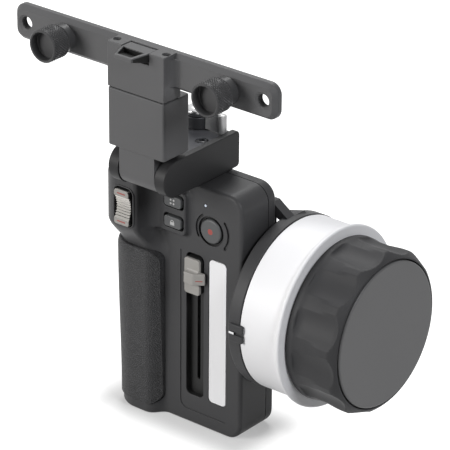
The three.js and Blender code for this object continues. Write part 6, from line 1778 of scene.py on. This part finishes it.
class CONTROLLER_OT_tab(Operator):
    """Builds the release tab at the front of the boss"""
    bl_idname = "controller.tab"
    bl_label = "Release tab"

    def execute(self, context):
        p = MountPlaces()
        m, box = p.sizes, Box("release_tab")
        low, high, front, top = box.low, box.high, p.block_front, p.bar.high.z
        left, right, taper = low.x, high.x, box.wide - m.tab_tip
        rim, depth = m.tab_rim, m.tab_depth
        tip_left, tip_right = left + taper * 0.7, right - taper * 0.3

        def wedge(side, plan):
            return limit(prism("x", side, left, right), prism("z", plan, top - 10, top + 5))

        tab = soften(wedge(
            [(high.y, low.z), (high.y, top - 0.2), (low.y, top - 0.2), (low.y, top - 1.9),
             (front, top - 4.3)],
            [(left, high.y), (left, front), (tip_left, low.y), (tip_right, low.y), (right, front),
             (right, high.y)]), 0.35, 25.0)
        scoop = wedge(
            [(front - 0.3, top + OVERRUN), (front - 0.3, top - depth),
             (low.y + rim + 0.6, top - depth * 0.3), (low.y + rim, top + OVERRUN)],
            [(left + rim, front), (tip_left + rim, low.y), (tip_right - 1.6 * rim, low.y),
             (right - 1.6 * rim, front)])
        bore = rod("x", Box("tab_pin").along("x"), 1 + PLAY, left - OVERRUN, right + OVERRUN, 0.0, 24)
        colours = context.scene.controller_finishes
        # Painted shade: the tab behind its front rim and below the top 0.7 mm, with its scoop, takes the
        # dark colour
        painted_shade = field_mark(box.x, low.z, 2 * box.wide, 2 * (top - 0.7 - low.z), low.y + rim, True)
        add_piece("thumb_tab", cut(tab, scoop, bore), "latch", "release_tab",
                  material=marked("tab_black", colours.anodised, [painted_shade], colours.dark_side,
                                  specular=0.16))
        return {"FINISHED"}


class CONTROLLER_OT_thumb_screws(Operator):
    """Builds the two knurled thumb screws"""
    bl_idname = "controller.thumb_screws"
    bl_label = "Thumb screws"

    def execute(self, context):
        p = MountPlaces()
        m = p.sizes
        washer = p.bar_front - SEAT
        for side in ("left", "right"):
            box = Box("thumb_screw_" + side)
            centre, radius, rows = (box.x, p.bar_z), box.tall / 2, 24
            start, end = box.low.y, washer - m.washer - m.washer_gap
            cup, floor = m.cup_radius, box.low.y + m.cup_depth
            profile = [(0.0, floor), (cup - 0.4, floor), (cup, floor - 0.5), (cup, start + 0.3),
                       (cup + 0.25, start), (radius - 0.6, start), (radius - 0.15, start + 0.45)]
            profile += [(radius, start + 0.7 + (end - start - 1.4) * i / rows)
                        for i in range(rows + 1)]
            profile += [(radius - 0.15, end - 0.45), (radius - 0.7, end), (m.thumb_neck, end),
                        (m.thumb_neck, end + m.washer_gap),
                        (m.washer_radius - 0.3, end + m.washer_gap),
                        (m.washer_radius, end + m.washer_gap + 0.3), (m.washer_radius, washer),
                        (m.thumb_shank, washer), (m.thumb_shank, box.high.y - 0.7),
                        (m.thumb_shank - 0.7, box.high.y), (0.0, box.high.y)]
            bm = turned("y", centre, profile, 4 * m.knurl)
            self.knurl(m, bm, centre, radius, start + 0.69, end - 0.69)
            add_piece("thumb_knob_" + side, bm, side + "_thumb_screw", "thumb_screw_" + side)
        return {"FINISHED"}

    def knurl(self, m, bm, centre, radius, start, end):
        """Sinks two crossing sets of grooves into the outside of a head"""
        pitch = 2 * math.pi * radius / m.knurl
        for vert in bm.verts:
            across, up = vert.co.x - centre[0], vert.co.z - centre[1]
            far = math.hypot(across, up)
            if far < radius - 0.01 or not start < vert.co.y < end:
                continue
            turn = math.atan2(up, across) / (2 * math.pi) * m.knurl
            along = (vert.co.y - start) / pitch
            groove = max(abs((turn + way * along) % 1.0 - 0.5) * 2 for way in (-1, 1))
            sunk = radius - m.knurl_depth * (1 - min(1.0, 1.6 * (1 - groove)))
            vert.co.x, vert.co.z = centre[0] + across * sunk / far, centre[1] + up * sunk / far


# Carried-over nodes


class CONTROLLER_OT_carried(Operator):
    """Gives every carried-over piece of the frame its finish"""
    bl_idname = "controller.carried"
    bl_label = "Carried-over pieces"

    def execute(self, context):
        for name, node in frame["nodes"].items():
            if node.hide_render:
                continue
            slot = SLOT_OF[name]
            node.data.materials.clear()
            node.data.materials.append(finish(slot))
        return {"FINISHED"}


class CONTROLLER_PT_sidebar(Panel):
    """Lists the steps that build the controller"""
    bl_idname = "CONTROLLER_PT_sidebar"
    bl_label = "Lens focus controller"
    bl_space_type = "VIEW_3D"
    bl_region_type = "UI"
    bl_category = "Controller"

    def draw(self, context):
        for step in STEPS:
            self.layout.operator(step.bl_idname)


STEPS = (
    CONTROLLER_OT_stage,
    CONTROLLER_OT_shells,
    CONTROLLER_OT_skin,
    CONTROLLER_OT_back,
    CONTROLLER_OT_rocker,
    CONTROLLER_OT_keys,
    CONTROLLER_OT_slider,
    CONTROLLER_OT_wheel,
    CONTROLLER_OT_shroud,
    CONTROLLER_OT_arm,
    CONTROLLER_OT_lock,
    CONTROLLER_OT_tilt_block,
    CONTROLLER_OT_bar,
    CONTROLLER_OT_tab,
    CONTROLLER_OT_thumb_screws,
    CONTROLLER_OT_carried,
)
GROUPS = (
    (ControllerFinishes, "controller_finishes"),
    (ControllerStage, "controller_stage"),
    (ControllerBody, "controller_body"),
    (ControllerGrip, "controller_grip"),
    (ControllerControls, "controller_controls"),
    (ControllerWheel, "controller_wheel"),
    (ControllerMount, "controller_mount"),
)


def register():
    for group, name in GROUPS:
        bpy.utils.register_class(group)
        setattr(bpy.types.Scene, name, PointerProperty(type=group))
    for step in STEPS:
        bpy.utils.register_class(step)
    bpy.utils.register_class(CONTROLLER_PT_sidebar)


def unregister():
    bpy.utils.unregister_class(CONTROLLER_PT_sidebar)
    for step in reversed(STEPS):
        bpy.utils.unregister_class(step)
    for group, name in reversed(GROUPS):
        delattr(bpy.types.Scene, name)
        bpy.utils.unregister_class(group)


def main():
    register()
    for step in STEPS:
        getattr(bpy.ops.controller, step.bl_idname.split(".")[1])()


if __name__ == "__main__":
    main()
